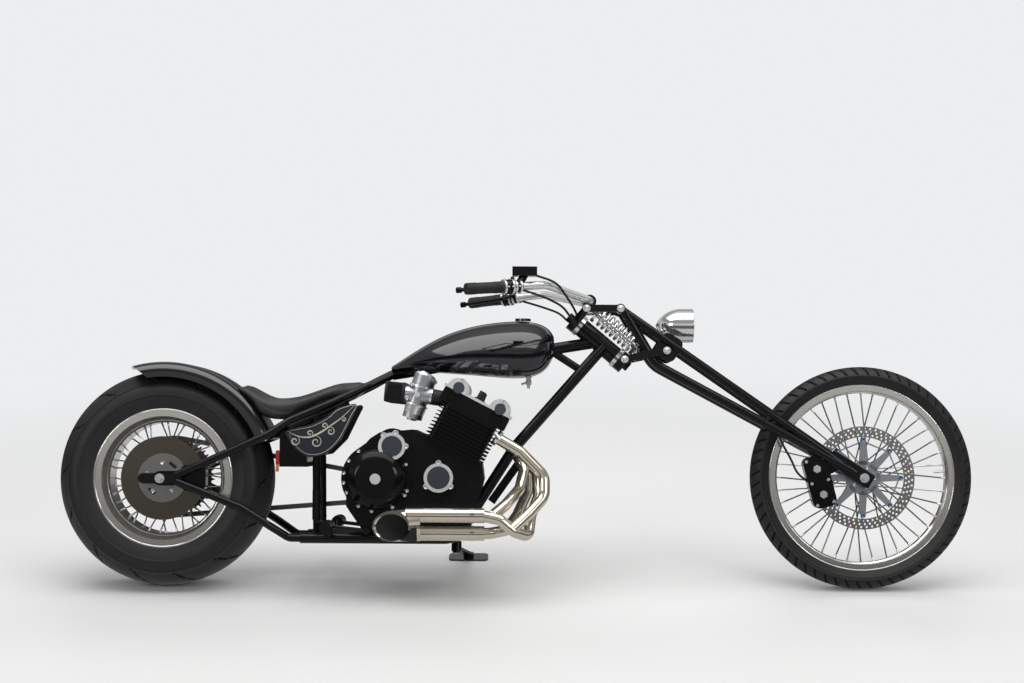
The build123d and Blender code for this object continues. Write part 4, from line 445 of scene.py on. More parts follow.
class Workbench:
    """Turns a bmesh of the upright frame into a finished piece of the parked object."""

    def __init__(self, frame: dict, bike: BikeFrame, shop: FinishShop) -> None:
        """Keep the frame, the bike's place and the finishes."""
        self.frame = frame
        self.bike = bike
        self.shop = shop
        self.slots = {row["node"]: row["material_slot"] for row in frame["record"]["subparts"]}

    def piece(self, name: str, mesh: bmesh.types.BMesh, finishes: Iterable[Finish], body: Body, slot: str,
              replaces: Iterable[str] = (), centre: Place = (0.0, 0.0, 0.0),
              smooth: float = 40.0) -> bpy.types.Object:
        """Make a bmesh into an object that rides on a body.

        Args:
            name: the piece's name.
            mesh: the shape, in the upright frame. It is freed.
            finishes: its finishes, in the order of its faces' material numbers.
            body: the body that it rides on.
            slot: the record's material slot, passed on to place, which does not use it.
            replaces: the CAD nodes that it stands for.
            centre: the point that its pattern is centred on.
            smooth: edges flatter than this many degrees are shaded smooth.

        Returns:
            The new object.
        """
        bmesh.ops.transform(mesh, matrix=self.bike.place, verts=mesh.verts)
        limit = math.radians(smooth)
        for face in mesh.faces:
            face.smooth = True
        for edge in mesh.edges:
            edge.smooth = len(edge.link_faces) != 2 or edge.calc_face_angle(math.pi) < limit
        thing = loose_object(name, mesh)
        for finish in finishes:
            thing.data.materials.append(self.shop.material(finish, centre))
        return self.place(thing, body, slot, replaces)

    def place(self, piece: bpy.types.Object, body: Body, slot: str,
              replaces: Iterable[str] = ()) -> bpy.types.Object:
        """Hang a finished object on its body and hide the CAD nodes that it stands for.

        Args:
            piece: the object, at the origin with its place in its mesh.
            body: the body that it rides on.
            slot: the record's material slot; not used.
            replaces: the CAD nodes that it stands for.

        Returns:
            The same object.
        """
        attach(piece, body.value)
        for node in replaces:
            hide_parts(node)
        LOG.info("%s rides on %s", piece.name, body.value)
        return piece

    def dress_nodes(self) -> None:
        """Give every CAD node its finish."""
        centres = {"front": FRONT_AXLE, "rear": REAR_AXLE}
        for name, node in self.frame["nodes"].items():
            centre = (0.0, 0.0, 0.0)
            if NODE_FINISH[name].surface is Surface.TURNED:
                centre = centres[name.split("_", maxsplit=1)[0]]
            node.data.materials.clear()
            node.data.materials.append(self.shop.material(NODE_FINISH[name], centre))
            LOG.info("%s dressed in %s", name, NODE_FINISH[name].name)


def ring_place(centre: Iterable[float], radius: float, angle: float, y: float) -> Vector:
    """Give a point on a circle about the Y axis.

    Args:
        centre: the circle's centre.
        radius: its radius.
        angle: the angle from X towards Z, in radians.
        y: the point's own distance along Y from the centre.

    Returns:
        The point.
    """
    return Vector(centre) + Vector((radius * math.cos(angle), y, radius * math.sin(angle)))


def add_rod(mesh: bmesh.types.BMesh, start: Vector, end: Vector, radius: float, segments: int = 12,
            tip: float | None = None, material: int = 0) -> None:
    """Add a straight round bar, or a cone, between two points.

    Args:
        mesh: the bmesh that receives it.
        start: the first end.
        end: the other end.
        radius: the radius at the first end.
        segments: the number of sides.
        tip: the radius at the other end, the same as the first if it is None.
        material: the faces' material number.
    """
    run = Vector(end) - Vector(start)
    turn = run.to_track_quat("Z", "Y").to_matrix().to_4x4()
    place = Matrix.Translation((Vector(start) + Vector(end)) / 2) @ turn
    made = bmesh.ops.create_cone(mesh, cap_ends=True, segments=segments, radius1=radius,
                                 radius2=radius if tip is None else tip, depth=run.length, matrix=place)
    paint_new(made, material)


def add_bolt(mesh: bmesh.types.BMesh, place: Vector, axis: Vector, radius: float, height: float,
             material: int = 0) -> None:
    """Add a socket bolt: a round head with a hexagon sunk in its top.

    Args:
        mesh: the bmesh that receives it.
        place: the middle of the seat under the head.
        axis: the way the head points.
        radius: the head's radius.
        height: the head's height.
        material: the faces' material number.
    """
    axis = Vector(axis).normalized()
    add_rod(mesh, place, Vector(place) + axis * height, radius, BOLT_SIDES, radius * 0.94, material)
    mesh.faces.ensure_lookup_table()
    top = max(mesh.faces[-BOLT_SIDES - 2:], key=lambda face: face.calc_center_median().dot(axis))
    bmesh.ops.inset_individual(mesh, faces=[top], thickness=radius * 0.42)
    bmesh.ops.translate(mesh, verts=top.verts, vec=-axis * height * 0.5)


@dataclass
class TreadedTyre:
    """A tyre spun from its section, with its tread cut into the crown and its groove faces darkened as painted
    shade.
    """

    node: str
    body: Body
    axle: Place
    radius: float
    width: float
    crown: float
    flange: float
    seat: float
    rim_width: float
    segments: int
    tread: Callable[[int, int, int], bool]
    groove: float
    ribs: tuple[float, ...]
    shoulder_share: float = 0.84
    belly_share: float = 0.42
    crown_cells: int = 26
    wall_steps: int = 40
    rib_lift: float = 0.0022
    rib_half: float = 0.0026
    groove_lean: float = 0.3

    @property
    def drop(self) -> float:
        """The radius at which the crown's own circle has its centre."""
        return self.radius - self.crown

    @property
    def spread(self) -> float:
        """Half the angle that the crown's arc fills."""
        return math.asin(self.shoulder_share * self.width / 2 / self.crown)

    def section(self) -> list[tuple[float, float]]:
        """Give the closed section as points of side distance and radius."""
        half = self.width / 2
        shoulder = self.shoulder_share * half
        crown = [
            (self.crown * math.sin(angle), self.drop + self.crown * math.cos(angle))
            for angle in (self.spread * (2 * step / self.crown_cells - 1) for step in range(self.crown_cells + 1))
        ]
        belly = self.flange + self.belly_share * (self.radius - self.flange)
        lip = self.rim_width / 2
        wall = []
        start, middle, end = Vector((shoulder, crown[-1][1])), Vector((half, belly)), Vector((lip, self.flange))
        for step in range(1, self.wall_steps + 1):
            share = step / self.wall_steps
            point = (start * (1 - share) * (1 - 2 * share) + middle * 4 * share * (1 - share)
                     + end * share * (2 * share - 1))
            bump = sum(self.rib_lift for rib in self.ribs if abs(point.y - rib) < self.rib_half)
            wall.append((point.x + bump, point.y))
        bead = [(lip - 0.006, self.flange - 0.004), (lip - 0.008, self.seat + 0.004)]
        right = wall + bead
        return crown + right + [(-y, r) for y, r in reversed(right)]

    def in_groove(self, face: bmesh.types.BMFace) -> bool:
        """Tell whether a face of the crown lies in a groove of the tread."""
        middle = face.calc_center_median() - Vector(self.axle)
        reach = math.hypot(middle.x, middle.z)
        lean = math.atan2(middle.y, reach - self.drop)
        if reach < self.drop or abs(lean) > self.spread * 0.995:
            return False
        across = int((lean / self.spread + 1) / 2 * self.crown_cells)
        around = int((math.atan2(middle.z, middle.x) % FULL_TURN) / FULL_TURN * self.segments)
        return self.tread(around, across, self.crown_cells)

    def build(self, bench: Workbench) -> None:
        """Spin the section and cut the tread, giving the groove faces a darker, duller finish as painted shade."""
        mesh = bmesh.new()
        spin_outline(mesh, (Vector(self.axle) + Vector((0.0, y, r)) for y, r in self.section()), self.axle, SIDE,
                     self.segments)
        bmesh.ops.recalc_face_normals(mesh, faces=mesh.faces)
        cuts = [face for face in mesh.faces if self.in_groove(face)]
        made = bmesh.ops.extrude_face_region(mesh, geom=cuts)
        # The cut faces take material 1, the darker groove finish: painted shade in the grooves.
        for face in only(made["geom"], bmesh.types.BMFace):
            face.material_index = 1
        for vert in only(made["geom"], bmesh.types.BMVert):
            out = vert.co - Vector(self.axle)
            out.y *= self.groove_lean
            vert.co -= out.normalized() * self.groove
        bmesh.ops.delete(mesh, geom=cuts, context="FACES")
        bmesh.ops.recalc_face_normals(mesh, faces=mesh.faces)
        bench.piece(self.node + "_treaded", mesh, [TYRE, GROOVE_SHADE], self.body, bench.slots[self.node],
                    replaces=[self.node], centre=self.axle, smooth=35.0)


def block_tread(around: int, across: int, cells: int) -> bool:
    """Cut slanted blocks, with a rib down the middle. Returns True in a groove."""
    side = abs(2 * across + 1 - cells) // 2
    if side == 3:
        return True
    return side > 3 and (around + side // 2) % 8 < 2


def street_tread(around: int, across: int, cells: int) -> bool:
    """Cut long sweeping grooves in a wide crown. Returns True in a groove."""
    side = abs(2 * across + 1 - cells) // 2
    hand = 1 if 2 * across + 1 > cells else -1
    if side < 2:
        return False
    return (around + hand * 5 + (5 * side) // 4) % 26 < 2


@dataclass
class WheelTrim:
    """What a wire wheel carries beside its spokes: a nipple at each one, and the valve."""

    name: str
    body: Body
    axle: Place
    well: float
    rim_y: float
    hub_radius: float
    hub_y: float
    lead: float = 32.0
    spokes: int = 40
    nipple: float = 0.013
    valve: float = 0.034

    def build(self, bench: Workbench) -> None:
        """Set a nipple at the outer end of every spoke and the valve between two of them."""
        mesh = bmesh.new()
        for index in range(self.spokes):
            side = 1 if index % 2 else -1
            lead = math.radians(self.lead if index % 4 < 2 else -self.lead)
            angle = index * FULL_TURN / self.spokes
            tip = ring_place(self.axle, self.well - 0.0015, angle, side * self.rim_y)
            root = ring_place(self.axle, self.hub_radius, angle + lead, side * self.hub_y)
            run = (root - tip).normalized()
            add_rod(mesh, tip, tip + run * self.nipple, 0.0036, 8, 0.0029)
        angle = FULL_TURN / self.spokes / 2
        add_rod(mesh, ring_place(self.axle, self.well - 0.002, angle, 0.0),
                ring_place(self.axle, self.well - self.valve, angle, 0.0), 0.0042, 10, 0.0032)
        bench.piece(self.name, mesh, [CHROME], self.body, "rim", smooth=50.0)


@dataclass
class DrilledDisc:
    """The front brake disc: a drilled ring on an eight-armed carrier."""

    axle: Place = FRONT_AXLE
    y: float = -0.050
    outer: float = 0.158
    inner: float = 0.125
    thickness: float = 0.005
    arms: int = 8
    hole: float = 0.0036
    rows: tuple[float, ...] = (0.132, 0.1415, 0.151)
    per_row: int = 56
    steps: int = 168
    arm_root: float = 0.040
    root_half: float = 0.013
    tip_half: float = 0.0075
    brace: float = 0.112
    hub: float = 0.052
    arm_bolts: float = 0.117
    hub_bolts: float = 0.034

    def build(self, bench: Workbench) -> None:
        """Drill the ring, arm the carrier and bolt both together."""
        ring, drills = bmesh.new(), bmesh.new()
        half = self.thickness / 2
        corners = ((-half, self.inner), (-half, self.outer), (half, self.outer), (half, self.inner))
        spin_outline(ring, (Vector(self.axle) + Vector((0.0, self.y + side, radius)) for side, radius in corners),
                     self.axle, SIDE, self.steps)
        bmesh.ops.recalc_face_normals(ring, faces=ring.faces)
        for row, radius in enumerate(self.rows):
            for index in range(self.per_row):
                angle = (index + row / len(self.rows)) * FULL_TURN / self.per_row
                add_rod(drills, ring_place(self.axle, radius, angle, self.y - self.thickness),
                        ring_place(self.axle, radius, angle, self.y + self.thickness), self.hole, 8)
        blank, tool = loose_object("front_disc_blank", ring), loose_object("drills", drills)
        cut = blank.modifiers.new("holes", "BOOLEAN")
        cut.operation = "DIFFERENCE"
        cut.object = tool
        cut.solver = "EXACT"
        mesh = bmesh.new()
        mesh.from_mesh(evaluated(blank))
        for leftover in (blank, tool):
            bpy.data.objects.remove(leftover)
        bench.piece("front_disc_ring", mesh, [DISC], Body.FRONT_WHEEL, "disc_steel", replaces=["front_disc"],
                    centre=self.axle, smooth=25.0)
        self.carrier(bench)

    def carrier(self, bench: Workbench) -> None:
        """Make the eight-armed carrier with its bolts."""
        mesh = bmesh.new()
        half = self.thickness / 2 - 0.0004
        tips = [index * FULL_TURN / self.arms for index in range(self.arms)]
        for angle in tips:
            across = Vector((-math.sin(angle), 0.0, math.cos(angle)))
            root = ring_place(self.axle, self.arm_root, angle, self.y)
            tip = ring_place(self.axle, self.inner - 0.004, angle, self.y)
            corners = [root + across * self.root_half, tip + across * self.tip_half,
                       tip - across * self.tip_half, root - across * self.root_half]
            face = mesh.faces.new([mesh.verts.new(corner - Vector((0.0, half, 0.0))) for corner in corners])
            made = bmesh.ops.extrude_face_region(mesh, geom=[face])
            bmesh.ops.translate(mesh, verts=only(made["geom"], bmesh.types.BMVert), vec=(0.0, 2 * half, 0.0))
        for first, second in zip(tips, tips[1:] + tips[:1]):
            add_rod(mesh, ring_place(self.axle, self.brace, first, self.y),
                    ring_place(self.axle, self.brace, second, self.y), 0.0022, 6)
        add_rod(mesh, ring_place(self.axle, 0.0, 0.0, self.y - half), ring_place(self.axle, 0.0, 0.0, self.y + half),
                self.hub, 48)
        bmesh.ops.recalc_face_normals(mesh, faces=mesh.faces)
        bench.piece("front_disc_carrier", mesh, [CARRIER], Body.FRONT_WHEEL, "disc_steel", smooth=30.0)
        bolts = bmesh.new()
        for angle in tips:
            add_bolt(bolts, ring_place(self.axle, self.arm_bolts, angle, self.y - half), RIGHT, 0.0068, 0.004)
        for index in range(5):
            place = ring_place(self.axle, self.hub_bolts, index * FULL_TURN / 5, self.y - half)
            add_bolt(bolts, place, RIGHT, 0.0058, 0.005, 1)
        bench.piece("front_disc_bolts", bolts, [BLUE, CHROME], Body.FRONT_WHEEL, "disc_steel", smooth=40.0)


def add_ribbon(mesh: bmesh.types.BMesh, points: list[Vector], width: float, lift: float, out: Vector) -> None:
    """Add a raised ribbon along a line on a flat face, thin at both of its ends.

    Args:
        mesh: the bmesh that receives it.
        points: the line on the face.
        width: the ribbon's full width.
        lift: how far it stands off the face.
        out: the way the face looks.
    """
    rows = []
    for index, point in enumerate(points):
        before, after = points[max(index - 1, 0)], points[min(index + 1, len(points) - 1)]
        side = (after - before).cross(out).normalized()
        share = index / (len(points) - 1)
        half = width / 2 * max(0.18, math.sin(math.pi * min(max(share, 0.04), 0.96)) ** 0.6)
        sunk = point - out * lift * 0.5
        rows.append([mesh.verts.new(place) for place in (
            sunk - side * half, point - side * half * 0.55 + out * lift,
            point + side * half * 0.55 + out * lift, sunk + side * half)])
    for first, second in zip(rows, rows[1:]):
        for index in range(4):
            follow = (index + 1) % 4
            mesh.faces.new((first[index], first[follow], second[follow], second[index]))
    mesh.faces.new(rows[0])
    mesh.faces.new(reversed(rows[-1]))


@dataclass
class RearDisc:
    """What stands on the rear brake disc: its steel carrier, with bolts and two slots painted as near-black boxes of
    shade.
    """

    y: float = -0.108
    radius: float = 0.076
    rise: float = 0.003
    bolt_circle: float = 0.048
    slot_circle: float = 0.050
    slot_angle: float = 0.9
    slot: Place = (0.010, 0.0012, 0.026)

    def build(self, bench: Workbench) -> None:
        """Make the carrier plate and bolt it down."""
        mesh, bolts = bmesh.new(), bmesh.new()
        inner, face, boss = (ring_place(REAR_AXLE, 0.0, 0.0, y) for y in (
            self.y + 0.001, self.y - self.rise, self.y - 2.2 * self.rise))
        add_rod(mesh, inner, face, self.radius, 72, self.radius - 0.002)
        add_rod(mesh, face, boss, self.radius * 0.5, 48)
        bench.piece("rear_disc_carrier", mesh, [WHEEL_STEEL], Body.REAR_WHEEL, "disc_steel", centre=REAR_AXLE)
        for index in range(5):
            angle = (index + 0.25) * FULL_TURN / 5
            add_bolt(bolts, ring_place(REAR_AXLE, self.bolt_circle, angle, self.y - self.rise), RIGHT, 0.0065, 0.005)
        # Each slot is a thin near-black box on the carrier's face, not a cut opening: painted shade where the slot
        # shows dark.
        for angle in (self.slot_angle, self.slot_angle + math.pi):
            place = ring_place(REAR_AXLE, self.slot_circle, angle, self.y - self.rise)
            paint_new(bmesh.ops.create_cube(bolts, size=1.0, matrix=Matrix.LocRotScale(
                place, Matrix.Rotation(-angle, 3, "Y"), Vector(self.slot))), 1)
        bench.piece("rear_disc_bolts", bolts, [CHROME, SOOT_AND_SHADE], Body.REAR_WHEEL, "disc_steel")


@dataclass
class EngineTrim:
    """The bolts, plug caps, port flanges and cover discs of the engine."""

    crank: tuple[float, float] = (-0.221, 0.337)
    clutch: tuple[float, float] = (-0.409, 0.333)
    starter: tuple[float, float] = (-0.361, 0.431)
    case_y: float = 0.158
    plate: float = 0.006
    cover: float = 0.042
    tilt: float = math.radians(27)
    plate_bolts: tuple[float, ...] = (26, -21, 123, 147, 170, 187, 205, 237, 262, 300, 330)
    cam_reach: float = 0.070
    cam_height: float = 0.264
    cam_bolts: float = 0.029
    cam_floor: float = 0.258
    cap_y: float = 0.192
    port_bolts: float = 0.0205

    def local(self, ahead: float, y: float, up: float) -> Vector:
        """Give a point of the tilted cylinder frame in the upright frame."""
        return Vector((self.crank[0] + ahead * math.cos(self.tilt) + up * math.sin(self.tilt), y,
                       self.crank[1] - ahead * math.sin(self.tilt) + up * math.cos(self.tilt)))

    def build(self, bench: Workbench) -> None:
        """Make every trim piece of the engine."""
        self.bolts(bench)
        self.discs(bench)
        self.plugs(bench)

    def bolts(self, bench: Workbench) -> None:
        """Bolt down the covers on both sides."""
        mesh = bmesh.new()
        table = (
            (self.clutch, 0.0995, self.case_y + self.plate, -1, self.plate_bolts),
            (self.crank, 0.046, self.case_y + self.cover, -1, (90, 215, 325)),
            (self.starter, 0.043, self.case_y + self.plate + self.cover, -1, (0, 75, 127, 245)),
            (self.crank, 0.080, self.case_y + self.cover, 1, (30, 150, 270)),
        )
        for (x, z), radius, y, side, angles in table:
            for angle in map(math.radians, angles):
                place = Vector((x + radius * math.cos(angle), side * y, z + radius * math.sin(angle)))
                add_bolt(mesh, place, Vector((0.0, side, 0.0)), 0.0056, 0.0045)
        for side in (-1, 1):
            for reach in (-self.cam_reach, self.cam_reach):
                for angle in map(math.radians, (90, 210, 330)):
                    rise = self.cam_height + self.cam_bolts * math.sin(angle)
                    if rise > self.cam_floor:
                        place = self.local(reach + self.cam_bolts * math.cos(angle), side * self.cap_y, rise)
                        add_bolt(mesh, place, Vector((0.0, side, 0.0)), 0.0048, 0.004)
        bench.piece("engine_bolts", mesh, [CHROME], Body.FRAME, "polished_alloy")

    def discs(self, bench: Workbench) -> None:
        """Lay the dark turned discs in the round covers and the cam caps. They stay bare."""
        mesh = bmesh.new()
        table = (
            (self.crank, 0.0345, self.case_y + self.cover - 0.003, -1),
            (self.starter, 0.0315, self.case_y + self.plate + self.cover - 0.003, -1),
            (self.crank, 0.068, self.case_y + self.cover - 0.003, 1),
        )
        for centre, radius, y, side in table:
            start = Vector((centre[0], side * (y - 0.001), centre[1]))
            add_rod(mesh, start, start + Vector((0.0, side * 0.002, 0.0)), radius, 64, radius - 0.001)
        for side in (-1, 1):
            for reach in (-self.cam_reach, self.cam_reach):
                start = self.local(reach, side * (self.cap_y - 0.001), self.cam_height + 0.004)
                add_rod(mesh, start, start + Vector((0.0, side * 0.0022, 0.0)), 0.018, 40, 0.0172)
        bench.piece("cover_discs", mesh, [COVER_GLASS], Body.FRAME, "polished_alloy")

    def plugs(self, bench: Workbench) -> None:
        """Set a plug cap in the valley over each cylinder and a flange at each exhaust port."""
        caps, flanges = bmesh.new(), bmesh.new()
        ahead = self.local(1, 0, 0) - self.local(0, 0, 0)
        for y in CYLINDERS:
            seat = self.local(0.0, y, 0.262)
            add_rod(caps, seat, self.local(0.0, y, 0.292), 0.011, 24, 0.0095)
            add_rod(caps, seat, self.local(0.0, y, 0.268), 0.015, 24)
            add_rod(flanges, self.local(0.094, y, 0.188), self.local(0.108, y, 0.1855), 0.025, 32, 0.0235)
            for side in (-1, 1):
                add_bolt(flanges, self.local(0.106, y + side * self.port_bolts, 0.186), ahead, 0.005, 0.006)
        bench.piece("plug_caps", caps, [RUBBER], Body.FRAME, "rubber")
        bench.piece("port_flanges", flanges, [CHROME], Body.FRAME, "exhaust_steel")


@dataclass
class PleatedFilters:
    """The four pod filters: pleated bodies with a cap, on bright clamps."""

    start: Place = (-0.3248, 0.0, 0.5909)
    run: Place = (-0.9944, 0.0, 0.1061)
    radius: float = 0.0325
    depth: float = 0.0032
    length: float = 0.061
    cap: float = 0.008
    pleats: int = 42
    clamp: float = 0.0245
    screw: float = 0.024

    def build(self, bench: Workbench) -> None:
        """Make the filters and their clamps."""
        mesh, clamps = bmesh.new(), bmesh.new()
        run = Vector(self.run)
        across = Vector(SIDE)
        rise = run.cross(across)
        for y in CYLINDERS:
            origin = Vector(self.start) + across * y + run * 0.0004
            edges = []
            for distance in (self.cap, self.length - self.cap):
                loop = []
                for index, angle in enumerate(circle(2 * self.pleats)):
                    reach = self.radius - 0.001 - (self.depth if index % 2 else 0.0)
                    loop.append(mesh.verts.new(
                        origin + run * distance + (across * math.cos(angle) + rise * math.sin(angle)) * reach))
                edges += closed_loop(mesh, loop)
            bmesh.ops.bridge_loops(mesh, edges=edges)
            add_rod(mesh, origin, origin + run * (self.cap + 0.001), self.radius, 40)
            add_rod(mesh, origin + run * (self.length - self.cap - 0.001), origin + run * self.length, self.radius,
                    40, self.radius - 0.002)
            add_rod(clamps, origin - run * 0.012, origin - run * 0.002, self.clamp, 32)
            foot = origin - run * 0.009 + rise * self.screw
            add_rod(clamps, foot, foot + across * 0.016, 0.0028, 8)
        bmesh.ops.recalc_face_normals(mesh, faces=mesh.faces)
        bench.piece("filter_pods", mesh, [PLEATS], Body.FRAME, "filter_black", replaces=["air_filters"], smooth=25.0)
        bench.piece("filter_clamps", clamps, [CHROME], Body.FRAME, "polished_alloy")


@dataclass
class Scrollwork:
    """The raised scrolls along both side panels, in a plain traditional pattern."""

    corner: tuple[float, float] = (-0.691, 0.395)
    length: float = 0.226
    height: float = 0.167
    face_y: float = 0.135
    lift: float = 0.0016
    stem_width: float = 0.0064
    border_width: float = 0.0026
    tendril_width: float = 0.0050
    curl_steps: int = 39
    stem: tuple[tuple[float, float], ...] = (
        (0.07, 0.45), (0.20, 0.38), (0.34, 0.37), (0.48, 0.45), (0.62, 0.58), (0.77, 0.73), (0.93, 0.94))
    border: tuple[tuple[float, float], ...] = (
        (0.045, 0.465), (0.14, 0.50), (0.37, 0.565), (0.57, 0.70), (0.73, 0.875), (0.955, 0.955), (0.89, 0.76),
        (0.735, 0.35), (0.55, 0.11), (0.345, 0.055), (0.19, 0.17), (0.06, 0.425))
    tendrils: tuple[tuple[float, float, float, float], ...] = (
        (0.13, 0.074, -1, 1.35), (0.36, 0.050, 1, 1.25), (0.40, 0.088, -1, 1.45), (0.60, 0.046, 1, 1.2),
        (0.62, 0.064, -1, 1.35), (0.83, 0.036, -1, 1.15))

    def place(self, along: float, up: float, side: int) -> Vector:
        """Give a point of a panel's face from its shares of length and height."""
        return Vector((self.corner[0] + along * self.length, side * self.face_y, self.corner[1] + up * self.height))

    def smooth_line(self, shares: Iterable[tuple[float, float]], side: int, steps: int = 8) -> list[Vector]:
        """Give a smooth line through points of a panel's face.

        Args:
            shares: the points, as shares of the panel's length and height.
            side: -1 on the rider's right, 1 on the left.
            steps: the number of points from one given point to the next.

        Returns:
            The line's points.
        """
        knots = [self.place(along, up, side) for along, up in shares]
        knots = [2 * knots[0] - knots[1], *knots, 2 * knots[-1] - knots[-2]]
        line = []
        for before, start, end, after in zip(knots, knots[1:], knots[2:], knots[3:]):
            for step in range(steps):
                share = step / steps
                line.append(0.5 * (2 * start + (end - before) * share
                                   + (2 * before - 5 * start + 4 * end - after) * share**2
                                   + (3 * start - before - 3 * end + after) * share**3))
        return [*line, knots[-2]]

    def build(self, bench: Workbench) -> None:
        """Lay the border, the stem and its curling tendrils on both panels."""
        mesh = bmesh.new()
        for side in (-1, 1):
            out = Vector((0.0, side, 0.0))
            stem = self.smooth_line(self.stem, side)
            add_ribbon(mesh, stem, self.stem_width, self.lift, out)
            add_ribbon(mesh, self.smooth_line(self.border, side), self.border_width, self.lift * 0.6, out)
            for share, reach, hand, turns in self.tendrils:
                index = min(int(share * len(stem)), len(stem) - 2)
                root = stem[index]
                ahead = (stem[index + 1] - root).normalized()
                across = Vector((-ahead.z, 0.0, ahead.x)) * hand
                middle = root + across * reach * self.length
                curl = []
                for step in range(self.curl_steps + 1):
                    bend = turns * FULL_TURN * step / self.curl_steps
                    radius = reach * self.length * (1 - 0.80 * (step / self.curl_steps) ** 0.8)
                    curl.append(middle + (ahead * math.sin(bend) - across * math.cos(bend)) * radius)
                add_ribbon(mesh, curl, self.tendril_width, self.lift, out)
        bmesh.ops.recalc_face_normals(mesh, faces=mesh.faces)
        bench.piece("panel_scrolls", mesh, [SCROLL], Body.FRAME, "panel_paint", smooth=60.0)


@dataclass
class ForkTrim:
    """The nuts on the girder fork's pivots and at both wheels' axles."""

    pivots: tuple[tuple[float, float], ...] = (
        (0.2250, 0.8554), (0.3290, 0.8554), (0.3415, 0.7002), (0.4706, 0.7276))
    pin_y: float = 0.1076
    front_y: float = 0.081
    rear_y: float = 0.163

    def build(self, bench: Workbench) -> None:
        """Cap every pivot pin with a domed nut and a washer, and both axles with a nut a side."""
        mesh = bmesh.new()
        for x, z in self.pivots:
            for side in (-1, 1):
                end = Vector((x, side * self.pin_y, z))
                out = Vector((0.0, side, 0.0))
                add_rod(mesh, end - out * 0.0085, end - out * 0.0065, 0.0115, 24)
                add_rod(mesh, end - out * 0.0065, end + out * 0.001, 0.0098, 6)
                add_rod(mesh, end + out * 0.001, end + out * 0.005, 0.0078, 16, 0.0035)
        bench.piece("fork_pivot_nuts", mesh, [CHROME], Body.STEERING, "chrome", smooth=30.0)
        for name, axle, y, body in (("front_axle_washers", FRONT_AXLE, self.front_y, Body.STEERING),
                                    ("rear_axle_washers", REAR_AXLE, self.rear_y, Body.FRAME)):
            washers = bmesh.new()
            for side in (-1, 1):
                out = Vector((0.0, side, 0.0))
                end = Vector(axle) + out * y
                add_rod(washers, end, end + out * 0.0025, 0.0145, 36)
                add_rod(washers, end + out * 0.0025, end + out * 0.0065, 0.0105, 6)
            bench.piece(name, washers, [CHROME], body, "chrome", smooth=30.0)


@dataclass
class ForkSpring:
    """The fork's open coil round its guide rod, between two cups, on its cross bar."""

    low: Place = (0.38425, 0.0, 0.73870)
    top: Place = (0.25556, 0.0, 0.84669)
    eye: Place = (0.22499, 0.0, 0.85537)
    bar: Place = (0.38022, 0.0, 0.70841)
    bar_half: float = 0.090
    rod: float = 0.009
    cup: float = 0.0115
    radius: float = 0.0245
    wire: float = 0.0050
    coils: int = 8
    steps: int = 30
    sides: int = 10

    def build(self, bench: Workbench) -> None:
        """Wind the coil and set it between its cups."""
        mesh = bmesh.new()
        low, top, bar = Vector(self.low), Vector(self.top), Vector(self.bar)
        up = (top - low).normalized()
        across = Vector(SIDE)
        height = (top - low).length - 2 * self.cup - 2 * self.wire
        start = low + up * (self.cup + self.wire)
        ring = [mesh.verts.new(start + across * (self.radius + self.wire * math.cos(turn))
                               + up * self.wire * math.sin(turn)) for turn in circle(self.sides)]
        edges = closed_loop(mesh, ring)
        mesh.faces.new(ring)
        count = self.coils * self.steps
        made = bmesh.ops.spin(mesh, geom=ring + edges, cent=start, axis=up, dvec=up * (height / count),
                              angle=FULL_TURN * self.coils, steps=count, use_merge=False)
        mesh.faces.new(only(made["geom_last"], bmesh.types.BMVert))
        bmesh.ops.recalc_face_normals(mesh, faces=mesh.faces)
        for first, last in ((low, low + up * self.cup), (top - up * self.cup, top)):
            add_rod(mesh, first, last, self.radius + self.wire, 40)
        for first, last in ((low, top), (top, Vector(self.eye)), (low, bar),
                            (bar - across * self.bar_half, bar + across * self.bar_half)):
            add_rod(mesh, first, last, self.rod, 24)
        bench.piece("fork_spring_coil", mesh, [CHROME], Body.STEERING, bench.slots["fork_spring"],
                    replaces=["fork_spring"], smooth=50.0)


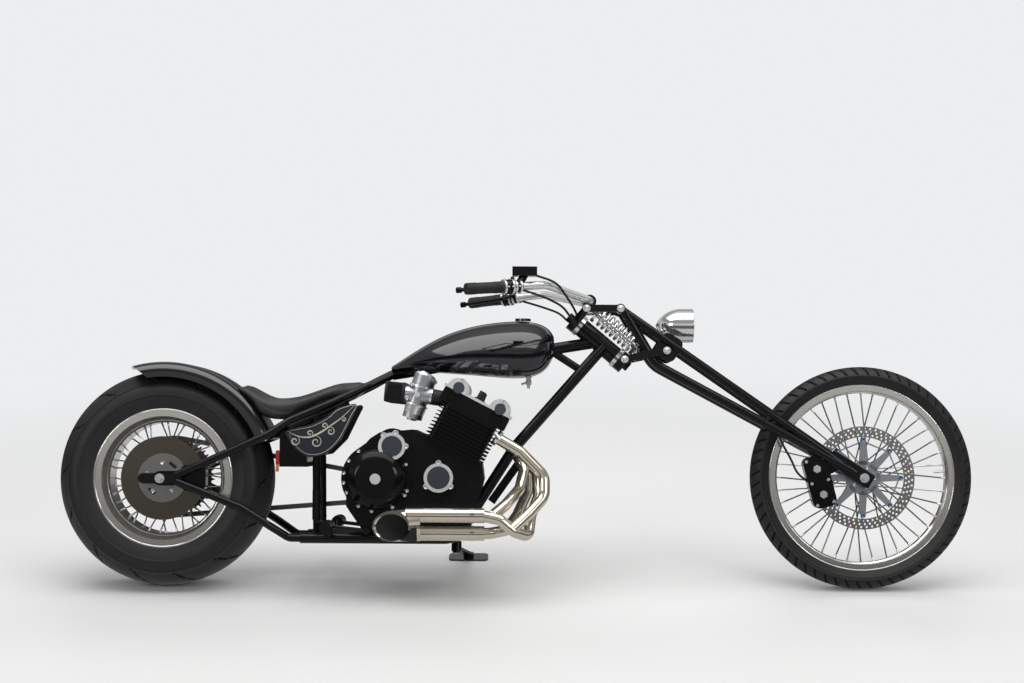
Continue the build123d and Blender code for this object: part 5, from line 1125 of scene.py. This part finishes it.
@dataclass
class CarburettorTrim:
    """What stands on the four carburettors: caps, bowls, screws, boots and their linkage."""

    middle: Place = (-0.2873, 0.0, 0.5869)
    port: Place = (-0.1968, 0.0, 0.5749)
    throat: Place = (-0.2498, 0.0, 0.5829)
    lean: float = math.radians(18)
    turned: tuple[tuple[float, float, float, int, float], ...] = (
        (0.0230, 0.0275, 0.0325, 36, 0.0325), (0.0625, 0.0700, 0.0270, 36, 0.0215),
        (0.0700, 0.0735, 0.0110, 24, 0.0095), (-0.0330, -0.0285, 0.0300, 36, 0.0300),
        (-0.0330, -0.0640, 0.0270, 36, 0.0235), (-0.0740, -0.0800, 0.0085, 6, 0.0085))
    side_cap: tuple[float, float] = (0.018, 0.0275)
    linkage: float = 0.176

    def build(self, bench: Workbench) -> None:
        """Dress every carburettor."""
        up = Vector((math.sin(self.lean), 0.0, math.cos(self.lean)))
        ahead = Vector((math.cos(self.lean), 0.0, -math.sin(self.lean)))
        bright, boots, screws = bmesh.new(), bmesh.new(), bmesh.new()
        for y in CYLINDERS:
            middle, port, throat = (Vector(place) + Vector((0.0, y, 0.0)) for place in (
                self.middle, self.port, self.throat))
            for low, high, radius, sides, tip in self.turned:
                add_rod(bright, middle + up * low, middle + up * high, radius, sides, tip)
            for step in range(4):
                turn = (step + 0.5) * FULL_TURN / 4
                spoke = ahead * math.cos(turn) + Vector((0.0, math.sin(turn), 0.0))
                add_bolt(screws, middle + up * 0.0275 + spoke * 0.0303, up, 0.0026, 0.0028)
                add_bolt(screws, middle - up * 0.0330 + spoke * 0.0282, -up, 0.0026, 0.0028)
            inner, outer = (middle - Vector((0.0, reach, 0.0)) for reach in self.side_cap)
            add_rod(screws, inner, outer, 0.0095, 24, 0.0085)
            add_bolt(screws, outer, RIGHT, 0.0055, 0.003)
            add_rod(boots, port, throat, 0.0212, 32, 0.0235)
            add_rod(screws, throat + Vector((0.006, 0.0, -0.001)), throat, 0.0245, 32)
        bar = Vector(self.middle) + up * 0.012 + ahead * 0.030
        ends = [bar + Vector((0.0, y, 0.0)) for y in (-self.linkage, self.linkage)]
        add_rod(screws, ends[0], ends[1], 0.0030, 12)
        bench.piece("carburettor_caps", bright, [POLISHED], Body.FRAME, "polished_alloy")
        bench.piece("carburettor_boots", boots, [RUBBER], Body.FRAME, "rubber")
        bench.piece("carburettor_screws", screws, [CHROME], Body.FRAME, "polished_alloy", smooth=35.0)


@dataclass
class ExhaustTrim:
    """The sooty inside of the exhaust's mouth, near-black and closed by a dark end disc that is painted shade, with
    the bands and bolts of its two pipes.
    """

    tip: Place = (-0.419, -0.184, 0.189)
    lip: Place = (-0.302, -0.260, 0.189)
    centre: tuple[float, float] = (-0.222, 0.189)
    half_width: float = 0.0346
    half_height: float = 0.0396
    depth: float = -0.2835
    wall: float = 0.0008
    sunk: float = 0.003
    pipes: tuple[tuple[float, float], ...] = ((-0.232, 0.226), (-0.205, 0.172))
    pipe_radius: float = 0.022
    bands: tuple[Place, ...] = ((-0.164, 0.0025, 0.0012), (-0.125, 0.012, 0.0010), (-0.262, 0.0025, 0.0012))
    bolts: tuple[float, float] = (-0.122, -0.116)

    def build(self, bench: Workbench) -> None:
        """Line the mouth in sooty near-black, partly painted shade, and band the pipes."""
        mesh, bands = bmesh.new(), bmesh.new()
        place = Matrix.Translation((self.depth, self.centre[0], self.centre[1])) @ Matrix.Diagonal(
            (1.0, self.half_width, self.half_height, 1.0)) @ Matrix.Rotation(math.pi / 2, 4, "Y")
        # The capped disc at the mouth's depth and the near-black lining stand for sooty metal and also paint the
        # shade deep in the pipe.
        bmesh.ops.create_circle(mesh, cap_ends=True, segments=56, radius=1.0, matrix=place)
        made = bmesh.ops.extrude_edge_only(mesh, edges=[edge for edge in mesh.edges if edge.is_boundary])
        bmesh.ops.translate(mesh, verts=only(made["geom"], bmesh.types.BMVert),
                            vec=(self.tip[0] - self.depth - 0.02, 0.0, 0.0))
        out = (Vector(self.lip) - Vector(self.tip)).normalized().cross(Vector((0.0, 0.0, 1.0)))
        if out.y > 0:
            out = -out
        bmesh.ops.bisect_plane(mesh, geom=mesh.verts[:] + mesh.edges[:] + mesh.faces[:],
                               plane_co=Vector(self.tip) - out * self.sunk, plane_no=out, clear_outer=True)
        bmesh.ops.recalc_face_normals(mesh, faces=mesh.faces)
        bmesh.ops.solidify(mesh, geom=mesh.faces[:], thickness=self.wall)
        bmesh.ops.recalc_face_normals(mesh, faces=mesh.faces)
        bench.piece("exhaust_mouth_soot_and_shade", mesh, [SOOT_AND_SHADE], Body.FRAME, "exhaust_steel", smooth=30.0)
        for y, z in self.pipes:
            for x, width, lift in self.bands:
                add_rod(bands, Vector((x, y, z)), Vector((x + width, y, z)), self.pipe_radius + lift, 48)
            for x in self.bolts:
                add_bolt(bands, Vector((x, y - self.pipe_radius, z + 0.004)), RIGHT, 0.0024, 0.0032, 1)
        bench.piece("exhaust_bands", bands, [EXHAUST, SOOT_AND_SHADE], Body.FRAME, "exhaust_steel", smooth=35.0)


@dataclass
class RimBeads:
    """The rolled edges and the inner step that catch the light on a wire wheel's rim."""

    name: str
    body: Body
    axle: Place
    beads: tuple[Place, ...]
    steps: int = 160

    def build(self, bench: Workbench) -> None:
        """Spin every bead round the axle, on both sides of the rim."""
        mesh = bmesh.new()
        for radius, y, thick in self.beads:
            for side in (-1, 1):
                spin_outline(mesh, (Vector(self.axle) + Vector((0.0, side * y + thick * math.cos(turn),
                                                                radius + thick * math.sin(turn)))
                                    for turn in circle(8)), self.axle, SIDE, self.steps)
        bmesh.ops.recalc_face_normals(mesh, faces=mesh.faces)
        bench.piece(self.name, mesh, [CHROME], self.body, "rim", smooth=60.0)


@dataclass
class CaliperTrim:
    """The bolts, plugs, ribs and bleed nipples of the front caliper."""

    centre: Place = (0.941, -0.028, 0.330)
    turn: float = math.radians(14.5)
    depth: float = 0.046
    cap: float = 0.006

    def spot(self, along: float, across: float, out: float) -> Vector:
        """Give a point over the caliper's outer face."""
        down = Vector((math.sin(self.turn), 0.0, -math.cos(self.turn)))
        ahead = Vector((math.cos(self.turn), 0.0, math.sin(self.turn)))
        return Vector(self.centre) + down * along + ahead * across + Vector((0.0, -self.depth - out, 0.0))

    def build(self, bench: Workbench) -> None:
        """Make the caliper's small parts."""
        mesh = bmesh.new()
        for along in (-0.040, 0.040):
            rim = self.spot(along, 0.0, self.cap + 0.002)
            add_rod(mesh, self.spot(along, 0.0, self.cap - 0.001), rim, 0.0215, 40, 0.0200)
            add_rod(mesh, rim, self.spot(along, 0.0, self.cap + 0.0032), 0.0125, 6, material=1)
        for along in (-0.069, 0.0, 0.069):
            for across in (-0.026, 0.026):
                add_bolt(mesh, self.spot(along, across, 0.0), RIGHT, 0.0052, 0.005, 1)
        for along in (-0.058, -0.020, 0.020, 0.058):
            for start, end in ((-0.034, -0.018), (0.018, 0.034)):
                add_rod(mesh, self.spot(along, start, 0.001), self.spot(along, end, 0.001), 0.0022, 8)
        for along in (-0.072, 0.074):
            add_rod(mesh, self.spot(along, -0.010, -0.010), self.spot(along * 1.17, -0.012, -0.010), 0.0042, 6,
                    0.0028, material=1)
        bench.piece("caliper_fittings", mesh, [COVER_BLACK, CHROME], Body.STEERING, bench.slots["front_caliper"],
                    smooth=35.0)


def grip_line(side: int) -> tuple[Vector, Vector]:
    """Give the outer end and the direction of one side's grip, on the bar's axis."""
    tip, elbow = (Vector((x, side * y, z)) for x, y, z in (GRIP_END, BAR_ELBOW))
    return tip, (elbow - tip).normalized()


@dataclass
class ControlTrim:
    """The bright clamps and screws of both hand controls."""

    grip_cap: float = 0.004
    rings: tuple[Place, ...] = ((0.1215, 0.1265, 0.0232), (0.1475, 0.1525, 0.0232), (0.1580, 0.1640, 0.0187),
                                (0.1745, 0.1800, 0.0187))
    screws: tuple[tuple[float, float], ...] = ((0.130, 0.0222), (0.144, 0.0222), (0.169, 0.0178))

    def build(self, bench: Workbench) -> None:
        """Dress both hand controls."""
        mesh = bmesh.new()
        for side in (-1, 1):
            tip, run = grip_line(side)
            origin = tip - run * self.grip_cap
            rise = (Vector((0.0, 0.0, 1.0)) - run * run.z).normalized()
            out = run.cross(rise) * -side
            if out.y * side < 0:
                out = -out
            for start, end, radius in self.rings:
                add_rod(mesh, origin + run * start, origin + run * end, radius, 40)
            for start, reach in self.screws:
                add_bolt(mesh, origin + run * start + out * reach, out, 0.0030, 0.003)
            add_bolt(mesh, origin + run * 0.137 + rise * 0.0222, rise, 0.0046, 0.004)
        bench.piece("control_clamps", mesh, [POLISHED], Body.STEERING, "polished_alloy", smooth=35.0)


@dataclass
class MarkerLens:
    """The small amber marker under the red lamp at the battery box's rear."""

    centre: Place = (-0.7165, -0.083, 0.362)
    size: Place = (0.009, 0.014, 0.022)

    def build(self, bench: Workbench) -> None:
        """Make the marker."""
        mesh = bmesh.new()
        place = Matrix.Translation(self.centre) @ Matrix.Diagonal((*self.size, 1.0))
        bmesh.ops.create_cube(mesh, size=1.0, matrix=place)
        bmesh.ops.bevel(mesh, geom=mesh.edges[:], offset=0.0015, segments=2, profile=0.5, affect="EDGES")
        bench.piece("marker_lens", mesh, [AMBER], Body.FRAME, bench.slots["tail_lamp"], smooth=30.0)


@dataclass
class PointedFender:
    """The rear fender with its tail drawn to a point."""

    radius: float = 0.354
    skirt: float = 0.308
    half_width: float = 0.128
    tip_angle: float = math.radians(109.3)
    top_angle: float = math.radians(105.5)
    low_angle: float = math.radians(99.0)

    def build(self, bench: Workbench) -> None:
        """Cut both corners off the tail of the CAD's fender."""
        mesh = bmesh.new()
        mesh.from_mesh(bench.frame["nodes"]["rear_fender"].data)
        bmesh.ops.remove_doubles(mesh, verts=mesh.verts, dist=WELD)
        bmesh.ops.transform(mesh, matrix=bench.bike.place.inverted(), verts=mesh.verts)
        tip = ring_place(REAR_AXLE, self.radius, self.tip_angle, 0.0)
        for side in (-1, 1):
            top = ring_place(REAR_AXLE, self.radius, self.top_angle, side * self.half_width)
            low = ring_place(REAR_AXLE, self.skirt, self.low_angle, side * self.half_width)
            across = (top - tip).cross(low - tip).normalized()
            if across.x > 0:
                across = -across
            cut = bmesh.ops.bisect_plane(mesh, geom=mesh.verts[:] + mesh.edges[:] + mesh.faces[:], plane_co=tip,
                                         plane_no=across, clear_outer=True)
            bmesh.ops.triangle_fill(mesh, edges=only(cut["geom_cut"], bmesh.types.BMEdge), use_beauty=True,
                                    normal=across)
        bmesh.ops.recalc_face_normals(mesh, faces=mesh.faces)
        bench.piece("pointed_fender", mesh, [BODY_PAINT], Body.FRAME, bench.slots["rear_fender"],
                    replaces=["rear_fender"], smooth=35.0)


@dataclass
class LampTrim:
    """The headlamp's inside: a bowl that throws the light, a bulb and a bright front ring."""

    front: float = 0.5455
    height: float = 0.808
    bowl: float = 0.0465
    wall: float = 0.0012
    depth: float = 0.034
    ring: float = 0.0520
    ring_front: float = 0.5555
    tube: float = 0.0024
    bulb: float = 0.0075
    turns: int = 64

    def build(self, bench: Workbench) -> None:
        """Spin the bowl and the ring about the lamp's axis, and set the bulb in the middle."""
        mesh = bmesh.new()
        bowl = [(self.front - self.depth * (1 - (step / 10) ** 2), self.bowl * step / 10) for step in range(1, 11)]
        shell = bowl + [(x - self.wall, radius) for x, radius in reversed(bowl)]
        ring = [(self.ring_front + self.tube * math.cos(turn), self.ring - self.tube + self.tube * math.sin(turn))
                for turn in circle(12)]
        for outline in (shell, ring):
            spin_outline(mesh, (Vector((x, 0.0, self.height + radius)) for x, radius in outline),
                         Vector((0.0, 0.0, self.height)), (1.0, 0.0, 0.0), self.turns)
        bmesh.ops.recalc_face_normals(mesh, faces=mesh.faces)
        place = Matrix.Translation((self.front - self.depth * 0.55, 0.0, self.height))
        bmesh.ops.create_uvsphere(mesh, u_segments=20, v_segments=12, radius=self.bulb, matrix=place)
        bench.piece("headlamp_bowl", mesh, [CHROME], Body.STEERING, bench.slots["headlamp"])


@dataclass
class GripRibs:
    """The raised rings near both ends of each grip."""

    radius: float = 0.0170
    sunk: float = 0.0004
    lift: float = 0.0011
    width: float = 0.0024
    starts: tuple[float, ...] = (0.001, 0.007, 0.013, 0.019, 0.025, 0.088, 0.094, 0.100, 0.106)

    def build(self, bench: Workbench) -> None:
        """Ring both grips."""
        mesh = bmesh.new()
        foot, crest = self.radius - self.sunk, self.radius + self.lift
        for side in (-1, 1):
            tip, run = grip_line(side)
            for start in self.starts:
                low, high = tip + run * start, tip + run * (start + self.width)
                middle = (low + high) / 2
                add_rod(mesh, low, middle, foot, 36, crest)
                add_rod(mesh, middle, high, crest, 36, foot)
        bench.piece("grip_ribs", mesh, [RUBBER], Body.STEERING, bench.slots["grips"], smooth=20.0)


@dataclass
class FuelTap:
    """The tap under the fuel tank's front, with its lever and its outlet."""

    place: Place = (0.049, -0.045, 0.650)
    drop: float = 0.030

    def build(self, bench: Workbench) -> None:
        """Make the tap's body, its nut, its lever and its outlet."""
        mesh = bmesh.new()
        top = Vector(self.place)
        low = top - Vector((0.0, 0.0, self.drop))
        for base, start, end, radius, sides in (
                (top, (0.0, 0.0, 0.004), (0.0, 0.0, -0.008), 0.0110, 6),
                (top, (0.0, 0.0, 0.0), (0.0, 0.0, -self.drop), 0.0075, 24),
                (low, (0.0, 0.006, 0.010), (0.0, -0.016, 0.010), 0.0095, 24),
                (low, (0.0, -0.018, 0.010), (-0.022, -0.018, 0.002), 0.0032, 12),
                (low, (0.0, 0.0, 0.0), (0.0, 0.0, -0.010), 0.0042, 16)):
            add_rod(mesh, base + Vector(start), base + Vector(end), radius, sides)
        bench.piece("fuel_tap", mesh, [CAST_ALLOY], Body.FRAME, "polished_alloy")


@dataclass
class Seat:
    """The leather seat, swollen by a cloth pass and then sewn into long channels."""

    voxel: float = 0.005
    shrink: float = 0.004
    pressure: float = 4.0
    frames: int = 20
    cap: float = 0.007
    channel_depth: float = 0.0045
    channel_width: float = 0.0055
    top_normal: float = 0.15
    sections: int = 20
    channels: tuple[float, ...] = (-0.62, -0.22, 0.22, 0.62)

    def build(self, bench: Workbench) -> None:
        """Make the seat from the CAD's solid."""
        mesh = bmesh.new()
        mesh.from_mesh(bench.frame["nodes"]["seat"].data)
        bmesh.ops.remove_doubles(mesh, verts=mesh.verts, dist=WELD)
        bmesh.ops.recalc_face_normals(mesh, faces=mesh.faces)
        for vert in mesh.verts:
            vert.co -= vert.normal * self.shrink
        pad = loose_object("seat_pad", mesh)
        shell = pad.modifiers.new("shell", "REMESH")
        shell.mode = "VOXEL"
        shell.voxel_size = self.voxel
        pad.data = evaluated(pad)
        pad.modifiers.clear()
        self.swell(pad)
        self.sew(pad, bench.bike)
        soft = pad.modifiers.new("soft", "SUBSURF")
        soft.levels = 1
        soft.render_levels = 1
        pad.data = evaluated(pad)
        pad.modifiers.clear()
        for face in pad.data.polygons:
            face.use_smooth = True
        pad.data.materials.clear()
        pad.data.materials.append(bench.shop.material(LEATHER))
        bench.place(pad, Body.FRAME, bench.slots["seat"], replaces=["seat"])

    def swell(self, pad: bpy.types.Object) -> None:
        """Blow the pad up with a cloth pass, no point further than the cap."""
        start = [vert.co.copy() for vert in pad.data.vertices]
        cloth = pad.modifiers.new("cloth", "CLOTH")
        cloth.settings.use_pressure = True
        cloth.settings.uniform_pressure_force = self.pressure
        cloth.settings.effector_weights.gravity = 0.0
        cloth.settings.quality = 6
        cloth.point_cache.frame_start = 1
        cloth.point_cache.frame_end = self.frames
        for frame in range(1, self.frames + 1):
            bpy.context.scene.frame_set(frame)
        blown = evaluated(pad)
        pad.modifiers.clear()
        bpy.context.scene.frame_set(1)
        for vert, first, last in zip(pad.data.vertices, start, blown.vertices):
            move = last.co - first
            if move.length > self.cap:
                move = move.normalized() * self.cap
            vert.co = first + move

    def sew(self, pad: bpy.types.Object, bike: BikeFrame) -> None:
        """Press the sewn channels into the top, along the seat's length."""
        back = bike.place.inverted()
        turn = bike.place.to_3x3()
        upright = [back @ vert.co for vert in pad.data.vertices]
        low, high = min(point.x for point in upright), max(point.x for point in upright)
        bins = [0.0] * (self.sections + 1)
        for point in upright:
            spot = int(self.sections * (point.x - low) / (high - low))
            bins[spot] = max(bins[spot], abs(point.y))
        normals = [back.to_3x3() @ vert.normal for vert in pad.data.vertices]
        for vert, point, normal in zip(pad.data.vertices, upright, normals):
            if normal.z < self.top_normal:
                continue
            share = self.sections * (point.x - low) / (high - low)
            first = int(min(share, self.sections - 1))
            half = bins[first] + (bins[first + 1] - bins[first]) * (share - first)
            for channel in self.channels:
                gap = abs(point.y - channel * half)
                if gap < 3 * self.channel_width:
                    press = self.channel_depth * math.exp(-((gap / self.channel_width) ** 2))
                    vert.co -= turn @ normal * press


@dataclass
class Studio:
    """The plain floor, the soft lamps and the photograph's camera."""

    distance: float = 6.27
    height: float = 1.808
    aim_height: float = 0.768
    centre_x: float = -0.0153
    contact_y: float = -0.139
    lens: float = 73.9
    roll: float = 0.29
    floor_radius: float = 12.0
    fade: tuple[float, float] = (1.3, 3.8)
    background: tuple[float, float, float] = (0.84, 0.85, 0.86)
    light: float = 0.38
    reflected: tuple[tuple[float, float], ...] = (
        (0.0, 0.42), (0.36, 0.55), (0.43, 0.10), (0.50, 0.02), (0.57, 0.03), (0.61, 0.50), (0.68, 0.52),
        (0.78, 0.16), (0.90, 0.45), (1.0, 0.80))
    lamp_table: tuple[tuple[str, Place, Place, float, float, float], ...] = (
        ("overhead", (0.0, -0.6, 4.2), (0.0, -0.3, 0.4), 6.0, 3.2, 150.0),
        ("right", (3.6, -4.4, 3.0), (0.3, 0.0, 0.5), 1.6, 1.6, 50.0),
        ("left", (-3.8, -4.2, 2.6), (-0.4, 0.0, 0.5), 1.6, 1.6, 44.0),
        ("back", (0.0, 3.0, 3.4), (0.0, 0.0, 0.6), 5.0, 1.4, 60.0),
    )

    def build(self) -> None:
        """Set up the floor, the lamps, the world and the camera."""
        self.floor()
        self.lamps()
        self.world()
        self.camera()

    def floor(self) -> None:
        """Make one pale round floor that fades into the background away from the motorcycle."""
        mesh = bmesh.new()
        bmesh.ops.create_circle(mesh, cap_ends=True, segments=96, radius=self.floor_radius)
        floor = loose_object("studio_floor", mesh)
        material = bpy.data.materials.new(FLOOR.name)
        material.use_nodes = True
        tree = material.node_tree
        shader = tree.nodes["Principled BSDF"]
        shader.inputs["Base Color"].default_value = (*FLOOR.colour, 1.0)
        shader.inputs["Roughness"].default_value = FLOOR.roughness
        near, far = self.fade
        place = add_node(tree.nodes, "TexCoord")
        reach = add_node(tree.nodes, "VectorMath", operation="LENGTH")
        fade = add_node(tree.nodes, "MapRange", {"From Min": near, "From Max": far}, interpolation_type="SMOOTHSTEP")
        rays = add_node(tree.nodes, "LightPath")
        seen = add_node(tree.nodes, "Math", operation="MULTIPLY")
        glow = add_node(tree.nodes, "Emission", {"Color": (*self.background, 1.0)})
        mix = add_node(tree.nodes, "MixShader")
        wire(tree, (place, "Object", reach, 0), (reach, "Value", fade, "Value"), (fade, "Result", seen, 0),
             (rays, "Is Camera Ray", seen, 1), (seen, "Value", mix, "Fac"), (shader, "BSDF", mix, 1),
             (glow, "Emission", mix, 2), (mix, "Shader", tree.nodes["Material Output"], "Surface"))
        floor.data.materials.append(material)
        floor.visible_glossy = False

    def lamps(self) -> None:
        """Hang one wide soft lamp overhead, one to each side of the camera and one behind."""
        for name, place, target, width, depth, power in self.lamp_table:
            lamp = bpy.data.lights.new(name, "AREA")
            lamp.shape = "RECTANGLE"
            lamp.size, lamp.size_y, lamp.energy = width, depth, power
            holder = bpy.data.objects.new(name, lamp)
            holder.location = place
            holder.rotation_euler = (Vector(target) - Vector(place)).to_track_quat("-Z", "Y").to_euler()
            holder.visible_glossy = name != "back"
            bpy.context.scene.collection.objects.link(holder)

    def world(self) -> None:
        """Light the world dimly, show it pale to the camera, and give reflections a dark band to carry."""
        world = bpy.data.worlds.new("studio")
        bpy.context.scene.world = world
        world.use_nodes = True
        tree = world.node_tree
        base = tree.nodes["Background"]
        base.inputs["Color"].default_value = (1.0, 1.0, 1.0, 1.0)
        base.inputs["Strength"].default_value = self.light
        shown = add_node(tree.nodes, "Background", {"Color": (*self.background, 1.0)})
        mirrored = add_node(tree.nodes, "Background")
        where = add_node(tree.nodes, "TexCoord")
        parts = add_node(tree.nodes, "SeparateXYZ")
        level = add_node(tree.nodes, "MapRange", {"From Min": -1.0})
        band = add_node(tree.nodes, "ValToRGB")
        ramp = band.color_ramp.elements
        for place, _ in self.reflected[:-2]:
            ramp.new(place)
        for element, (place, value) in zip(ramp, self.reflected):
            element.position = place
            element.color = (value, value, value, 1.0)
        rays = add_node(tree.nodes, "LightPath")
        clear = add_node(tree.nodes, "Math", operation="MAXIMUM")
        mix, gloss = add_node(tree.nodes, "MixShader"), add_node(tree.nodes, "MixShader")
        wire(tree, (where, "Generated", parts, "Vector"), (parts, "Z", level, "Value"),
             (level, "Result", band, "Fac"), (band, "Color", mirrored, "Color"), (rays, "Is Camera Ray", clear, 0),
             (rays, "Is Transmission Ray", clear, 1), (clear, "Value", mix, "Fac"), (base, "Background", mix, 1),
             (shown, "Background", mix, 2), (rays, "Is Glossy Ray", gloss, "Fac"), (mix, "Shader", gloss, 1),
             (mirrored, "Background", gloss, 2), (gloss, "Shader", tree.nodes["World Output"], "Surface"))

    def camera(self) -> None:
        """Put the camera at the photograph's place, level but for its small roll."""
        data = bpy.data.cameras.new("photo_camera")
        data.lens = self.lens
        data.sensor_width = 36.0
        camera = bpy.data.objects.new("photo_camera", data)
        spot = Vector((self.centre_x, self.contact_y - self.distance, self.height))
        aim = Vector((self.centre_x, self.contact_y, self.aim_height))
        turn = (aim - spot).to_track_quat("-Z", "Y").to_matrix().to_4x4()
        camera.matrix_world = Matrix.Translation(spot) @ turn @ Matrix.Rotation(math.radians(self.roll), 4, "Z")
        bpy.context.scene.collection.objects.link(camera)
        bpy.context.scene.camera = camera


def main() -> None:
    """Build the dressed motorcycle, piece by piece."""
    logging.basicConfig(level=logging.INFO, format="%(name)s: %(message)s")
    scene = bpy.context.scene
    scene.view_settings.view_transform = "Standard"
    for leftover in list(bpy.data.objects):
        bpy.data.objects.remove(leftover)
    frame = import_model()
    bike = BikeFrame(frame["joints"])
    bench = Workbench(frame, bike, FinishShop(bike))
    Studio().build()
    bench.dress_nodes()
    makers = (
        TreadedTyre("front_tyre", Body.FRONT_WHEEL, FRONT_AXLE, 0.3418, 0.088, 0.045, 0.2863, 0.269, 0.056, 480,
                    block_tread, 0.005, (0.304,), shoulder_share=0.93),
        TreadedTyre("rear_tyre", Body.REAR_WHEEL, REAR_AXLE, 0.3298, 0.230, 0.140, 0.2123, 0.190, 0.205, 360,
                    street_tread, 0.003, (0.288, 0.253)),
        WheelTrim("front_wheel_trim", Body.FRONT_WHEEL, FRONT_AXLE, 0.262, 0.007, 0.044, 0.022),
        WheelTrim("rear_wheel_trim", Body.REAR_WHEEL, REAR_AXLE, 0.172, 0.024, 0.058, 0.045),
        RimBeads("front_rim_beads", Body.FRONT_WHEEL, FRONT_AXLE,
                 ((0.2838, 0.0268, 0.0022), (0.2655, 0.0195, 0.0016))),
        RimBeads("rear_rim_beads", Body.REAR_WHEEL, REAR_AXLE,
                 ((0.2085, 0.1010, 0.0030), (0.1925, 0.0985, 0.0022), (0.1760, 0.0600, 0.0018))),
        DrilledDisc(), RearDisc(), EngineTrim(), PleatedFilters(), Scrollwork(), ForkTrim(), ForkSpring(),
        CarburettorTrim(), ExhaustTrim(), CaliperTrim(), ControlTrim(), MarkerLens(), PointedFender(), LampTrim(),
        GripRibs(), FuelTap(), Seat(),
    )
    for maker in makers:
        maker.build(bench)


if __name__ == "__main__":
    main()
